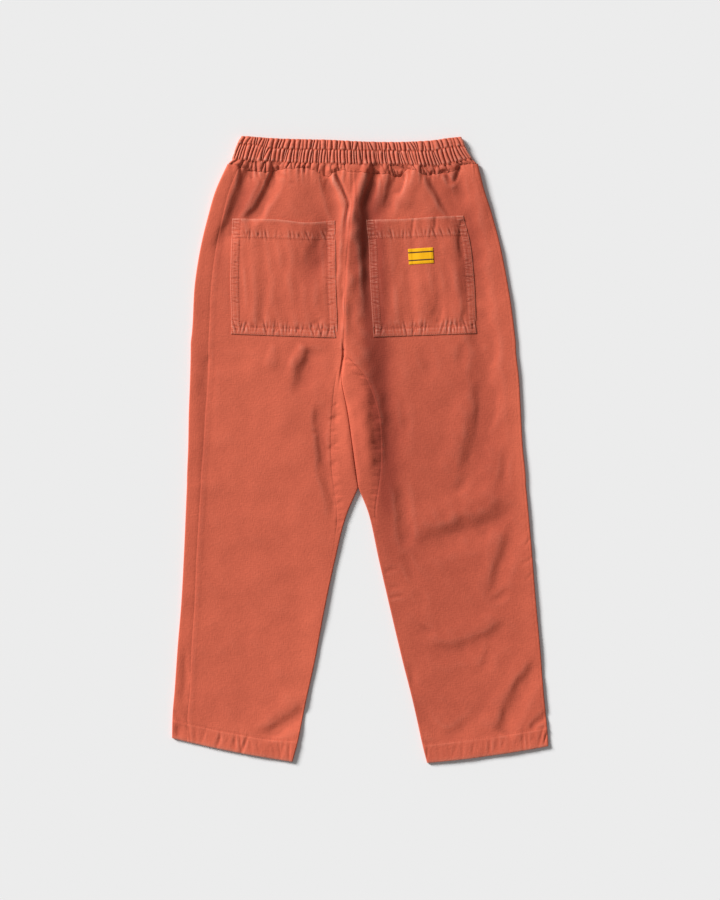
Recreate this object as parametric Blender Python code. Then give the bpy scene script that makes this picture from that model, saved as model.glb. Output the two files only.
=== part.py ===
"""Work trousers with an elastic waist, laid flat on a surface with the back side up.

Frame: X to the right across the back, Y towards the waist, Z up off the surface.
The origin is below the middle of the outline, on the surface.
Each half is one flattened tube: rows run straight across it from the outer edge to the
middle line of the seat or to the inner edge of the leg.  The tube is cut along its seams
into a back panel (the flat top) and a front panel (the underside with both rolled edges).
Tables are in millimetres, and MM turns them into the metres of the meshes.
"""
import math
from collections import namedtuple

import bmesh
import bpy
import numpy as np
from mathutils import Vector
from mathutils.bvhtree import BVHTree

MM = 0.001

# Cloth and seams
CLOTH = 1.2            # wall of a panel
SEAM_GAP = 0.3         # between two pieces at their seam
POCKET_CLOTH = 1.2     # wall of a patch pocket
POCKET_HEM_LIFT = 0.5  # a pocket's turned hem stands this much higher
LABEL_CLOTH = 0.8
LABEL_GAP = 0.45       # between the label and the pocket under it

# Waistband
BAND_HEIGHT = 10.6     # off the surface, over the crests
BAND_WALL = 3.4        # cloth, elastic and cloth
BAND_GATHERS = 62      # on each side
BAND_TURN = 3          # gathers on the turn at each end, within the number above

# Rows across a half.  outer and inner are the row's ends; roll_out and roll_in are how far
# the front panel comes over the outer and inner edge onto the top; pocket_out and pocket_in
# are the pocket's sides as shares of the row; steps is how many strips lead to the next row.
Row = namedtuple("Row", "name drop outer_x outer_y inner_x inner_y roll_out roll_in "
                        "pocket_out pocket_in steps")

LEFT_ROWS = (
    Row("waist seam", 0, -212, 457, -12, 444, 19, 0, 0.14, 0.86, 2),
    Row("gathers", 39, -230, 418, -12, 407, 21, 0, 0.16, 0.87, 2),
    Row("pocket top", 86, -244, 371, -16, 367, 23, 0, 0.175, 0.892, 2),
    Row("pocket hem", 118, -252, 339, -19, 336, 24, 0, 0.199, 0.911, 3),
    Row("pocket middle", 188, -264, 269, -24, 268, 26, 0, 0.235, 0.937, 4),
    Row("pocket bottom", 269, -269, 188, -26, 179, 27, 0, 0.257, 0.945, 1),
    Row("above crotch", 288, -271, 169, -27, 165, 28, 0, 0.257, 0.93, 1),
    Row("crotch", 291, -271, 166, -27, 162, 28, 1.5, 0.257, 0.92, 2),
    Row("slit", 341, -272, 116, -30, 116, 28, 9, 0.26, 0.85, 2),
    Row("thigh", 396, -274, 61, -20, 61, 26, 25, 0.26, 0.78, 2),
    Row("low thigh", 450, -275, 7, -12, 4, 24, 35, 0.26, 0.75, 3),
    Row("above fork", 506, -277, -49, -4, -54, 22, 39, 0.26, 0.75, 1),
    Row("fork", 512, -277, -54, -3, -60, 22, 39, 0.26, 0.75, 2),
    Row("inner edge", 559, -279, -102, -22, -105, 21, 15, 0.26, 0.76, 2),
    Row("knee", 626, -282, -169, -40, -176, 20, 6, 0.26, 0.77, 2),
    Row("below knee", 700, -286, -243, -57, -256, 21, 4.5, 0.26, 0.77, 2),
    Row("calf", 773, -292, -316, -72, -336, 22, 4.5, 0.26, 0.77, 2),
    Row("shin", 844, -297, -387, -89, -414, 24, 4.5, 0.26, 0.77, 2),
    Row("hem stitch", 884, -300, -422, -99, -464, 24, 4.5, 0.26, 0.77, 1),
    Row("hem edge", 921, -301, -460, -108, -498, 25, 4.5, 0.26, 0.77, 0),
)

RIGHT_ROWS = (
    Row("waist seam", 0, 188, 457, -12, 444, 8, 0, 0.17, 0.86, 2),
    Row("gathers", 39, 198, 418, -12, 407, 7.5, 0, 0.19, 0.87, 2),
    Row("pocket top", 86, 211, 377, -16, 367, 7, 0, 0.205, 0.887, 2),
    Row("pocket hem", 118, 220, 344, -19, 336, 6.5, 0, 0.195, 0.867, 3),
    Row("pocket middle", 188, 235, 272, -24, 268, 6, 0, 0.204, 0.846, 4),
    Row("pocket bottom", 269, 247, 189, -26, 179, 6, 0, 0.223, 0.826, 1),
    Row("above crotch", 288, 249, 169, -27, 165, 6, 0, 0.223, 0.82, 1),
    Row("crotch", 291, 249, 166, -27, 162, 6, 2.5, 0.223, 0.81, 2),
    Row("slit", 341, 254, 116, -30, 116, 5.5, 38, 0.22, 0.76, 2),
    Row("thigh", 396, 257, 61, -20, 61, 5.5, 48, 0.22, 0.74, 2),
    Row("low thigh", 450, 260, 7, -12, 4, 5, 45, 0.22, 0.74, 3),
    Row("above fork", 506, 265, -49, -4, -54, 5, 34, 0.22, 0.76, 1),
    Row("fork", 512, 265, -54, -3, -60, 5, 32, 0.22, 0.76, 2),
    Row("inner edge", 559, 269, -96, 13, -100, 5, 11, 0.22, 0.77, 2),
    Row("knee", 626, 275, -164, 30, -176, 5, 5, 0.22, 0.77, 2),
    Row("below knee", 700, 281, -240, 48, -254, 5, 4.5, 0.22, 0.77, 2),
    Row("calf", 773, 288, -316, 67, -334, 5, 4.5, 0.22, 0.77, 2),
    Row("shin", 844, 294, -392, 87, -414, 5, 4.5, 0.22, 0.77, 2),
    Row("hem stitch", 884, 299, -443, 100, -473, 5, 4.5, 0.22, 0.77, 1),
    Row("hem edge", 921, 301, -473, 107, -500, 5, 4.5, 0.22, 0.77, 0),
)
CROTCH_ROW = "crotch"
FORK_ROW = "fork"
POCKET_TOP_ROW = "pocket top"
POCKET_HEM_ROW = "pocket hem"
POCKET_BOTTOM_ROW = "pocket bottom"
SEAM_BEND_END = 86     # drop at which the rows have lost the sag of the waist seam
HEM_BOW = 2.5          # the middle of a hem edge hangs this much below its ends
HEM_BOW_START = 700    # drop at which the rows start to bow

# Strips of the grid across a half
STRIPS_OUTSIDE_POCKET = 3
STRIPS_UNDER_POCKET = 8
STRIPS_INSIDE_POCKET = 3
STRIPS_UNDERSIDE = 5
STRIPS_ROLLED_OUT = 4  # of the front panel, from the outer seam to the edge
HALF_TURN = 1 - math.sqrt(0.5)   # share of the edge's radius at 45 degrees

# Height of the upper cloth off the surface down the garment, without its folds
Ease = namedtuple("Ease", "y height")
EASE = (
    Ease(460, 9.4),
    Ease(415, 8.0),
    Ease(370, 7.0),
    Ease(270, 6.4),
    Ease(170, 6.2),
    Ease(0, 5.8),
    Ease(-200, 5.6),
    Ease(-500, 5.4),
)
LEAST_HEIGHT = 2 * CLOTH + 0.6

# Largest folds: a curve through three places, its rise (minus for a trough) and how far
# it reaches to the left and to the right of the curve, seen from its start.
Fold = namedtuple("Fold", "name x0 y0 x1 y1 x2 y2 rise left right")
FOLDS = (
    Fold("left hip ridge", -159, 455, -173, 412, -197, 362, 2.4, 13, 13),
    Fold("left hip trough", -136, 458, -151, 416, -183, 365, -3.2, 13, 14),
    Fold("seat plateau", -104, 440, -112, 408, -124, 376, 1.6, 32, 30),
    Fold("left dart ridge", -45, 440, -28, 384, -23, 280, 2.2, 14, 14),
    Fold("left dart trough", -58, 448, -42, 400, -35, 352, -2.4, 14, 14),
    Fold("seat fold", 10, 458, -13, 380, -25, 190, 4.2, 15, 14),
    Fold("seat trough", 22, 456, 2, 384, -4, 262, -3.2, 13, 14),
    Fold("right pleat ridge", 30, 450, 22, 412, 10, 376, 2.4, 13, 13),
    Fold("right pleat trough", 48, 440, 37, 404, 22, 366, -2.4, 13, 13),
    Fold("right bulge", 92, 424, 66, 406, 40, 384, 2.4, 18, 16),
    Fold("right drag line", 96, 448, 115, 416, 141, 372, -2.4, 13, 14),
    Fold("right drag ridge", 118, 448, 140, 414, 160, 384, 1.6, 16, 16),
    Fold("slit", -20, 300, -28, 210, -31, 112, -2.6, 13, 13),
    Fold("valley", -31, 128, -19, 56, -3, -58, -2.4, 14, 14),
    Fold("thigh ridge", -4, 290, 5, 150, 22, -46, 2.6, 16, 15),
    Fold("thigh trough", 18, 190, 31, 70, 37, -44, -2.8, 14, 17),
    Fold("left inseam ridge", -38, 120, -40, 20, -36, -120, 1.8, 14, 15),
    Fold("left thigh trough", -88, 96, -79, -8, -60, -150, -1.6, 20, 18),
    Fold("long drag", 238, -66, 176, -107, 62, -128, -2.2, 15, 15),
    Fold("hip drag", 184, 116, 172, 32, 161, -66, -1.8, 17, 17),
    Fold("shin drag", 231, -124, 214, -184, 190, -270, -2.0, 16, 16),
    Fold("knee smile", 230, -250, 170, -294, 80, -300, -1.8, 15, 15),
    Fold("right hem drag", 282, -320, 244, -364, 208, -454, -2.2, 15, 15),
    Fold("left hem drag", -90, -394, -127, -420, -178, -445, -2.0, 15, 15),
)
FOLD_PIECES = 10       # straight pieces that a fold's curve is measured by
FOLD_TAPER = 0.22      # share of a fold's length that each end fades over

# Lines across the waistband, from the top edge to the seam: the height of the line
# at each station from the left end to the right end
BandStation = namedtuple("BandStation", "x top upper_stitch lower_stitch seam")
BAND_STATIONS = (
    BandStation(-212, 500, 489, 467, 457),
    BandStation(-190, 500, 486, 463, 453),
    BandStation(-158, 497, 482, 460, 448),
    BandStation(-96, 494, 479, 458, 445),
    BandStation(-12, 492, 478, 457, 444),
    BandStation(72, 491, 479, 456, 441),
    BandStation(128, 494, 481, 457, 444),
    BandStation(165, 497, 485, 462, 452),
    BandStation(188, 498, 489, 467, 457),
)
# Rows of the waistband: share of the way from the line above, side ends and gather depth
BandRow = namedtuple("BandRow", "name above below share left right depth")
BAND_ROWS = (
    BandRow("top edge", "top", "upper_stitch", 0.0, -192, 164, 0.9),
    BandRow("upper channel", "top", "upper_stitch", 0.5, -195, 167, 1.7),
    BandRow("upper stitch", "upper_stitch", "lower_stitch", 0.0, -197, 169, 0.9),
    BandRow("lower channel", "upper_stitch", "lower_stitch", 0.5, -202, 174, 1.7),
    BandRow("lower stitch", "lower_stitch", "seam", 0.0, -206, 180, 0.9),
    BandRow("seam", "lower_stitch", "seam", 1.0, -212, 187, 1.2),
)
BAND_EDGE_ROUNDING = 1.0   # the top edge is this much lower than the channel below it

# Woven label on the right pocket
LABEL_CENTRE = (97, 310)
LABEL_SIZE = (40, 25)
LABEL_TILT = math.radians(3.5)
LABEL_STRIPS = (4, 3)

# Finishes: colour, roughness
CANVAS = ("brick_canvas", (0.571, 0.122, 0.068, 1.0), 0.9)
WEAVE = ("yellow_weave", (0.855, 0.456, 0.033, 1.0), 0.7)


def ease_height(y):
    """Height of the unfolded upper cloth at places y down the garment."""
    stations = sorted(EASE)
    return np.interp(y, [e.y for e in stations], [e.height for e in stations])


def fold_curve(fold):
    """Points of a fold's curve, which passes through its three places."""
    start, middle, end = (np.array(p, float) for p in
                          ((fold.x0, fold.y0), (fold.x1, fold.y1), (fold.x2, fold.y2)))
    pull = 2 * middle - (start + end) / 2
    t = np.linspace(0, 1, FOLD_PIECES + 1)[:, None]
    return (1 - t) ** 2 * start + 2 * t * (1 - t) * pull + t ** 2 * end


FOLD_CURVES = {fold.name: fold_curve(fold) for fold in FOLDS}


def fold_rise(fold, x, y):
    """What one fold adds to the height at places x, y."""
    curve = FOLD_CURVES[fold.name]
    reach = max(fold.left, fold.right)
    lowest, highest = curve.min(axis=0) - reach, curve.max(axis=0) + reach
    if x.max() < lowest[0] or x.min() > highest[0] or y.max() < lowest[1] or y.min() > highest[1]:
        return 0
    best = np.full(x.shape, np.inf)
    side = np.zeros(x.shape)
    along = np.zeros(x.shape)
    for i in range(FOLD_PIECES):
        a, b = curve[i], curve[i + 1]
        run = b - a
        length = math.hypot(*run)
        dx, dy = x - a[0], y - a[1]
        t = np.clip((dx * run[0] + dy * run[1]) / length ** 2, 0, 1)
        away = np.hypot(dx - t * run[0], dy - t * run[1])
        nearer = away < best
        best = np.where(nearer, away, best)
        side = np.where(nearer, dx * run[1] - dy * run[0], side)
        along = np.where(nearer, (i + t) / FOLD_PIECES, along)
    reach = np.where(side < 0, fold.right, fold.left)
    across = np.clip(1 - (best / reach) ** 2, 0, 1) ** 2
    ends = np.clip(np.minimum(along, 1 - along) / FOLD_TAPER, 0, 1)
    return fold.rise * across * ends * ends * (3 - 2 * ends)


def height(x, y):
    """Height of the upper cloth's outside at places x, y."""
    x, y = np.asarray(x, float), np.asarray(y, float)
    z = ease_height(y)
    for fold in FOLDS:
        z = z + fold_rise(fold, x, y)
    return np.maximum(z, LEAST_HEIGHT)


def height_and_direction(x, y, square_end):
    """Height of the upper cloth at one place and its outward direction there.

    At a square end the direction doesn't lean up or down the garment.
    """
    step = 0.5
    middle, right, left, up, down = height(x + np.array((0, step, -step, 0, 0)),
                                           y + np.array((0, 0, 0, step, -step)))
    lean = 0 if square_end else (down - up) / (2 * step)
    return float(middle), Vector(((left - right) / (2 * step), lean, 1)).normalized()


def smooth_values(rows, field, drops):
    """A column of a row table at any drops, on smooth curves with a corner at the fork."""
    knots = np.array([r.drop for r in rows], float)
    values = np.array([getattr(r, field) for r in rows], float)
    fork = [r.name for r in rows].index(FORK_ROW)
    slopes = np.diff(values) / np.diff(knots)
    out = np.empty(len(drops))
    for k, drop in enumerate(drops):
        i = min(max(int(np.searchsorted(knots, drop, side="right")) - 1, 0), len(rows) - 2)
        gap = knots[i + 1] - knots[i]
        ends = []
        for j in (i, i + 1):
            if j in (0, fork, len(rows) - 1):
                ends.append(slopes[i])
            else:
                before, after = knots[j] - knots[j - 1], knots[j + 1] - knots[j]
                ends.append((slopes[j - 1] * after + slopes[j] * before) / (before + after))
        t = (drop - knots[i]) / gap
        out[k] = (values[i] * (1 + 2 * t) * (1 - t) ** 2 + values[i + 1] * t * t * (3 - 2 * t)
                  + gap * (ends[0] * t * (1 - t) ** 2 - ends[1] * t * t * (1 - t)))
    return out


def band_line(name, x):
    """Height on the garment of one line of the waistband at places x."""
    return np.interp(x, [s.x for s in BAND_STATIONS], [getattr(s, name) for s in BAND_STATIONS])


class Half:
    """The grid of one half: places on the outside of the cloth, row by row."""

    def __init__(self, rows):
        self.rows = rows
        self.drops, self.index = [], {}
        for row, following in zip(rows, rows[1:] + rows[-1:]):
            self.index[row.name] = len(self.drops)
            for k in range(max(row.steps, 1)):
                self.drops.append(row.drop + (following.drop - row.drop) * k / max(row.steps, 1))
        for field in Row._fields[2:-1]:
            setattr(self, field, smooth_values(rows, field, self.drops))
        self.inward = 1 if rows[0].inner_x > rows[0].outer_x else -1
        self.fork = self.index[FORK_ROW]
        self.crotch = self.index[CROTCH_ROW]

    def place(self, i, away):
        """Plan place on row i at a distance away from the outer edge."""
        outer = np.array((self.outer_x[i], self.outer_y[i]))
        inner = np.array((self.inner_x[i], self.inner_y[i]))
        length = math.hypot(*(inner - outer))
        x, y = outer + (inner - outer) * away / length
        left = (1 - min(self.drops[i] / SEAM_BEND_END, 1)) ** 2
        straight = np.interp((x - self.outer_x[0]) * self.inward,
                             (0, (self.inner_x[0] - self.outer_x[0]) * self.inward),
                             (self.outer_y[0], self.inner_y[0]))
        y += left * (band_line("seam", x) - straight)
        share = away / length
        low = max(self.drops[i] - HEM_BOW_START, 0) / (self.drops[-1] - HEM_BOW_START)
        return x, y - HEM_BOW * low * 4 * share * (1 - share)

    def spot(self, i, away, top):
        """Outside place and outward direction of the cloth on row i, top or underside."""
        outer = Vector((self.outer_x[i], self.outer_y[i], 0))
        inner = Vector((self.inner_x[i], self.inner_y[i], 0))
        length = (inner - outer).length
        x, y = self.place(i, away)
        full, level = height_and_direction(x, y, square_end=i == 0)
        radius = float(ease_height(y)) / 2
        to_inner = length - away if i >= self.fork else length
        turned = self.round(min(away, to_inner) / radius)
        sideways = (inner - outer).normalized() * (1 - min(min(away, to_inner) / radius, 1))
        if away < to_inner:
            sideways.negate()
        if not top:
            level = Vector((0, 0, -1))
        z = full / 2 * (1 + turned) if top else full / 2 * (1 - turned)
        if i == 0:
            y -= SEAM_GAP / 2
        if length - away < SEAM_GAP / 2:
            x -= self.inward * SEAM_GAP / 2
        return Vector((x, y, z)), (level * turned + sideways).normalized()

    @staticmethod
    def round(share):
        """Rise of a round edge at a share of its radius from the edge."""
        return math.sqrt(1 - (1 - min(max(share, 0), 1)) ** 2)

    def columns(self, i):
        """Distances from the outer edge of all columns of row i, part by part."""
        length = math.hypot(self.inner_x[i] - self.outer_x[i], self.inner_y[i] - self.outer_y[i])
        radius = float(ease_height(self.place(i, 0)[1])) / 2
        turn = (0, HALF_TURN * radius, radius)
        seam = SEAM_GAP / 2
        roll_out, roll_in = self.roll_out[i], self.roll_in[i]
        edge = length - (roll_in + seam if i >= self.crotch else 0)
        sides = (roll_out + seam, self.pocket_out[i] * length, self.pocket_in[i] * length, edge)
        back = []
        for k, strips in enumerate((STRIPS_OUTSIDE_POCKET, STRIPS_UNDER_POCKET,
                                    STRIPS_INSIDE_POCKET)):
            back += list(np.linspace(sides[k], sides[k + 1], strips, endpoint=False))
        back.append(sides[-1])
        far = roll_out - seam
        outer_top = [far, (far + radius) / 2] + list(reversed(turn))
        under = list(np.linspace(radius, length - radius, STRIPS_UNDERSIDE + 1))
        underside = list(turn[1:2]) + under + [length - turn[1], length]
        far = roll_in - seam
        scale = min(1, max(far, 0) / (radius + 0.4))
        inner_top = [length, length - turn[1] * scale, length - radius * scale,
                     length - (far + radius * scale) / 2, length - far]
        return back, outer_top, underside, inner_top

    def grid(self):
        """Rows of spots for the back, for the outer side with the underside, and for
        the strip of front panel on top of the inner edge."""
        back, front, strip = [], [], []
        for i in range(len(self.drops)):
            on_back, outer_top, underside, inner_top = self.columns(i)
            back.append([self.spot(i, d, True) for d in on_back])
            front.append([self.spot(i, d, True) for d in outer_top]
                         + [self.spot(i, d, False) for d in underside])
            if i >= self.crotch:
                edge = self.spot(i, inner_top[0], True) if i < self.fork else front[i][-1]
                strip.append([edge] + [self.spot(i, d, True) for d in inner_top[1:]])
        return back, front, strip


def make_wall(grids, lift, wall, flip, name, finish, collection):
    """A closed wall of cloth over grids of spots, its outside lifted off them.

    Grids join where their spots meet.  lift has one value for each row of each grid.
    """
    bm = bmesh.new()
    pairs = {}

    def pair(spot, out):
        place, direction = spot
        outside = place + direction * out
        key = tuple(round(v, 2) for v in outside)
        if key not in pairs:
            pairs[key] = (bm.verts.new(outside * MM),
                          bm.verts.new((outside - direction * wall) * MM))
        return pairs[key]

    corners = []
    for rows in grids:
        spots = [[pair(spot, out) for spot in row] for row, out in zip(rows, lift)]
        for upper, lower in zip(spots, spots[1:]):
            for a, b, c, d in zip(upper, upper[1:], lower[1:], lower):
                corners += [(a, b, c), (a, c, d)]
    if flip:
        corners = [face[::-1] for face in corners]
    edges = {(a, b) for face in corners for a, b in zip(face, face[1:] + face[:1])}
    for face in corners:
        bm.faces.new([outside for outside, inside in face])
        bm.faces.new([inside for outside, inside in reversed(face)])
    for a, b in sorted(edges, key=lambda edge: (edge[0][0].co[:], edge[1][0].co[:])):
        if (b, a) not in edges:
            bm.faces.new((b[0], a[0], a[1]))
            bm.faces.new((b[0], a[1], b[1]))
    return make_object(bm, name, finish, collection)


def make_object(bm, name, finish, collection):
    """Turn a bmesh into a named object with its material, shaded smooth."""
    mesh = bpy.data.meshes.new(name)
    bm.to_mesh(mesh)
    bm.free()
    mesh.shade_smooth()
    piece = bpy.data.objects.new(name, mesh)
    collection.objects.link(piece)
    piece.data.materials.append(finish)
    return piece


def make_finish(name, colour, roughness):
    """A plain finish with a colour and a roughness."""
    finish = bpy.data.materials.new(name)
    finish.use_nodes = True
    shader = finish.node_tree.nodes["Principled BSDF"]
    shader.inputs["Base Color"].default_value = colour
    shader.inputs["Roughness"].default_value = roughness
    shader.inputs["Metallic"].default_value = 0.0
    return finish


def make_half(side, rows, canvas, collection):
    """Back panel, front panel and patch pocket of one half.

    Returns the plan places of its edge at the waist seam, on the top and on the underside.
    """
    half = Half(rows)
    back, front, strip = half.grid()
    mirrored = side == "left"
    level = [0] * len(front)
    make_wall([back], level, CLOTH, mirrored, "back_" + side, canvas, collection)
    make_wall([front, strip], level, CLOTH, not mirrored, "front_" + side, canvas, collection)

    # The patch pocket is the panel's own spots under it, moved out.
    first, hem, last = (half.index[name] for name in
                        (POCKET_TOP_ROW, POCKET_HEM_ROW, POCKET_BOTTOM_ROW))
    near = STRIPS_OUTSIDE_POCKET
    far = near + STRIPS_UNDER_POCKET
    patch = [row[near:far + 1] for row in back[first:last + 1]]
    lift = [SEAM_GAP + POCKET_CLOTH + (POCKET_HEM_LIFT if i < hem else 0)
            for i in range(first, last + 1)]
    make_wall([patch], lift, POCKET_CLOTH, mirrored, "pocket_" + side, canvas, collection)

    rolled = STRIPS_ROLLED_OUT
    return ([tuple(place[:2]) for place, direction in front[0][:rolled + 1] + back[0]],
            [tuple(place[:2]) for place, direction in front[0][rolled:]])


def make_waistband(top_seam, under_seam, canvas, collection):
    """Gathered outside and plain inside of the elastic waistband, one closed ring.

    Its lower edge follows the panels' edges at the waist seam, a seam gap away.
    """
    radius = BAND_HEIGHT / 2
    count = 4 * BAND_GATHERS
    bm = bmesh.new()

    def ring(row, depth, wall):
        verts = []
        above, below = row.above, row.below
        rounding = BAND_EDGE_ROUNDING if row.name == "top edge" else 0
        reach = radius - wall - rounding
        for k in range(count):
            x, z, nx, nz = stadium(k / count, row.left + wall, row.right - wall, reach)
            dip = depth if k % 2 else 0
            x, z = x - nx * dip, z - nz * dip
            y = band_line(above, x) + row.share * (band_line(below, x) - band_line(above, x))
            if row.name == "seam":
                y = np.interp(x, *zip(*(top_seam if nz > 0 else under_seam))) + SEAM_GAP
            verts.append(bm.verts.new(Vector((x, y, z + radius - rounding)) * MM))
        return verts

    outside = [ring(row, row.depth, 0) for row in BAND_ROWS]
    inside = [ring(row, 0, BAND_WALL) for row in (BAND_ROWS[-1], BAND_ROWS[0])]
    loops = outside + inside
    for upper, lower in zip(loops, loops[1:] + loops[:1]):
        for k in range(count):
            following = (k + 1) % count
            bm.faces.new((upper[k], lower[k], lower[following], upper[following]))
    bmesh.ops.triangulate(bm, faces=bm.faces[:])
    bmesh.ops.recalc_face_normals(bm, faces=bm.faces[:])
    make_object(bm, "waistband", canvas, collection)


def stadium(share, left, right, radius):
    """Place and outward direction on a flat-sided ring: along the top to the right end,
    round it, back along the underside and round the left end."""
    turn = BAND_TURN / (2 * BAND_GATHERS)
    flat = 0.5 - turn
    share = (share + turn / 2) % 1.0
    middle_left, middle_right = left + radius, right - radius
    lower = share >= 0.5
    within = share - 0.5 if lower else share
    start, end = (middle_right, middle_left) if lower else (middle_left, middle_right)
    if within < flat:
        angle = -90 if lower else 90
        x = start + (end - start) * within / flat
    else:
        angle = (-90 if lower else 90) - 180 * (within - flat) / turn
        x = end
    nx, nz = math.cos(math.radians(angle)), math.sin(math.radians(angle))
    return x + radius * nx, radius * nz, nx, nz


def make_label(pocket, weave, collection):
    """Woven label that follows the pocket under it."""
    depsgraph = bpy.context.evaluated_depsgraph_get()
    ground = BVHTree.FromObject(pocket, depsgraph)
    across, down = LABEL_STRIPS
    cos, sin = math.cos(LABEL_TILT), math.sin(LABEL_TILT)
    grid = []
    for j in range(down + 1):
        row = []
        for i in range(across + 1):
            u = (i / across - 0.5) * LABEL_SIZE[0]
            v = (0.5 - j / down) * LABEL_SIZE[1]
            x = LABEL_CENTRE[0] + u * cos - v * sin
            y = LABEL_CENTRE[1] + u * sin + v * cos
            above = Vector((x * MM, y * MM, 0.1))
            place = ground.ray_cast(above, Vector((0, 0, -1)))[0]
            row.append((place / MM, Vector((0, 0, 1))))
        grid.append(row)
    lift = [LABEL_GAP + LABEL_CLOTH] * (down + 1)
    make_wall([grid], lift, LABEL_CLOTH, True, "label", weave, collection)


def main():
    for thing in list(bpy.data.objects):
        bpy.data.objects.remove(thing, do_unlink=True)
    collection = bpy.data.collections.new("work_trousers")
    bpy.context.scene.collection.children.link(collection)
    canvas = make_finish(*CANVAS)
    weave = make_finish(*WEAVE)
    left_top, left_under = make_half("left", LEFT_ROWS, canvas, collection)
    right_top, right_under = make_half("right", RIGHT_ROWS, canvas, collection)
    make_waistband(sorted(left_top + right_top), sorted(left_under + right_under),
                   canvas, collection)
    bpy.context.view_layer.update()
    make_label(collection.objects["pocket_right"], weave, collection)


main()
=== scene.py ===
# %% [markdown]
# # Easy work trousers, laid flat with the back side up
# The real thing is a pair of loose canvas trousers with an elastic waist.  It lies on a pale
# table with the seat up: two patch pockets, a small woven label, plain hems.  The packed
# model already holds the pieces as simple solids.  This script dresses each one with a
# finer wall of cloth that has the same form, and gives it its weave, seams and stitches.

import math
from collections import namedtuple

import bpy
import numpy as np
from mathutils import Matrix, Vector
from mathutils.bvhtree import BVHTree


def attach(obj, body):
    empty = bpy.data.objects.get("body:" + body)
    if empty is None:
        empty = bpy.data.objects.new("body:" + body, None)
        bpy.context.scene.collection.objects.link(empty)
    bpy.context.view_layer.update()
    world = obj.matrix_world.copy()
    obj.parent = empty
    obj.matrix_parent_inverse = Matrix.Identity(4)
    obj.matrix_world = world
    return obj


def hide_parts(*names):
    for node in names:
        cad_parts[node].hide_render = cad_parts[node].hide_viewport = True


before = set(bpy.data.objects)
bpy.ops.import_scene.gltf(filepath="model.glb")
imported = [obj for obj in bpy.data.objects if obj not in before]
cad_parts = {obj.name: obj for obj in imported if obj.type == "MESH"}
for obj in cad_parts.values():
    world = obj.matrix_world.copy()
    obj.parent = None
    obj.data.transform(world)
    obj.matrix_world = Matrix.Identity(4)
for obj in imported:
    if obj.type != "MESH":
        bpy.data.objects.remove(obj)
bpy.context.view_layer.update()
MM = 0.001
print("nodes to dress:", ", ".join(sorted(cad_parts)))

# %% [markdown]
# ## The camera
# The trousers were photographed from straight above.  A long lens far away keeps the
# near and far edges of such a thin thing parallel, as in a catalogue picture.

# %% Camera: straight down, framed so that one picture point is 1.6 mm
PICTURE_HEIGHT = 1.44      # metres of table from the top of the picture to the bottom
LENS = 100                 # millimetres
SENSOR = 36                # millimetres, along the picture's longer side
PICTURE_MIDDLE = (-0.0003, 0.0003)

camera_data = bpy.data.cameras.new("camera")
camera_data.lens = LENS
camera_data.sensor_width = SENSOR
camera = bpy.data.objects.new("camera", camera_data)
camera.location = (*PICTURE_MIDDLE, PICTURE_HEIGHT * LENS / SENSOR)
bpy.context.scene.collection.objects.link(camera)
bpy.context.scene.camera = camera
print("camera height", round(camera.location.z, 2), "m")

# %% [markdown]
# ## How the trousers lie
# Each half is a flattened tube.  Its cut is given by rows that run straight across it,
# from the outer edge to the middle of the seat, or to the inner edge of the leg.  Between
# the rows in the table, smooth curves fill in, with one corner where the legs part.
# drop is the distance down the garment.  roll_out and roll_in say how far the front panel
# comes over each edge onto the top.  pocket_out and pocket_in are the shares of the row
# between which the pocket lies, and below it they only carry its sides on.

# %% Rows of each half, in millimetres
Row = namedtuple("Row", "name drop outer_x outer_y inner_x inner_y roll_out roll_in "
                        "pocket_out pocket_in")

LEFT_ROWS = (
    Row("waist seam", 0, -212, 457, -12, 444, 19, 0, 0.14, 0.86),
    Row("gathers", 39, -230, 418, -12, 407, 21, 0, 0.16, 0.87),
    Row("pocket top", 86, -244, 371, -16, 367, 23, 0, 0.175, 0.892),
    Row("pocket hem", 118, -252, 339, -19, 336, 24, 0, 0.199, 0.911),
    Row("pocket middle", 188, -264, 269, -24, 268, 26, 0, 0.235, 0.937),
    Row("pocket bottom", 269, -269, 188, -26, 179, 27, 0, 0.257, 0.945),
    Row("above crotch", 288, -271, 169, -27, 165, 28, 0, 0.257, 0.93),
    Row("crotch", 291, -271, 166, -27, 162, 28, 0.4, 0.257, 0.92),
    Row("slit", 341, -272, 116, -30, 116, 28, 9, 0.26, 0.85),
    Row("thigh", 396, -274, 61, -20, 61, 26, 25, 0.26, 0.78),
    Row("low thigh", 450, -275, 7, -12, 4, 24, 35, 0.26, 0.75),
    Row("above fork", 506, -277, -49, -4, -54, 22, 39, 0.26, 0.75),
    Row("fork", 512, -277, -54, -3, -60, 22, 39, 0.26, 0.75),
    Row("inner edge", 559, -279, -102, -22, -105, 21, 15, 0.26, 0.76),
    Row("knee", 626, -282, -169, -40, -176, 20, 6, 0.26, 0.77),
    Row("below knee", 700, -286, -243, -57, -256, 21, 4.5, 0.26, 0.77),
    Row("calf", 773, -292, -316, -72, -336, 22, 4.5, 0.26, 0.77),
    Row("shin", 844, -297, -387, -89, -414, 24, 4.5, 0.26, 0.77),
    Row("hem stitch", 884, -300, -422, -99, -464, 24, 4.5, 0.26, 0.77),
    Row("hem edge", 921, -301, -460, -108, -498, 25, 4.5, 0.26, 0.77),
)

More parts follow.
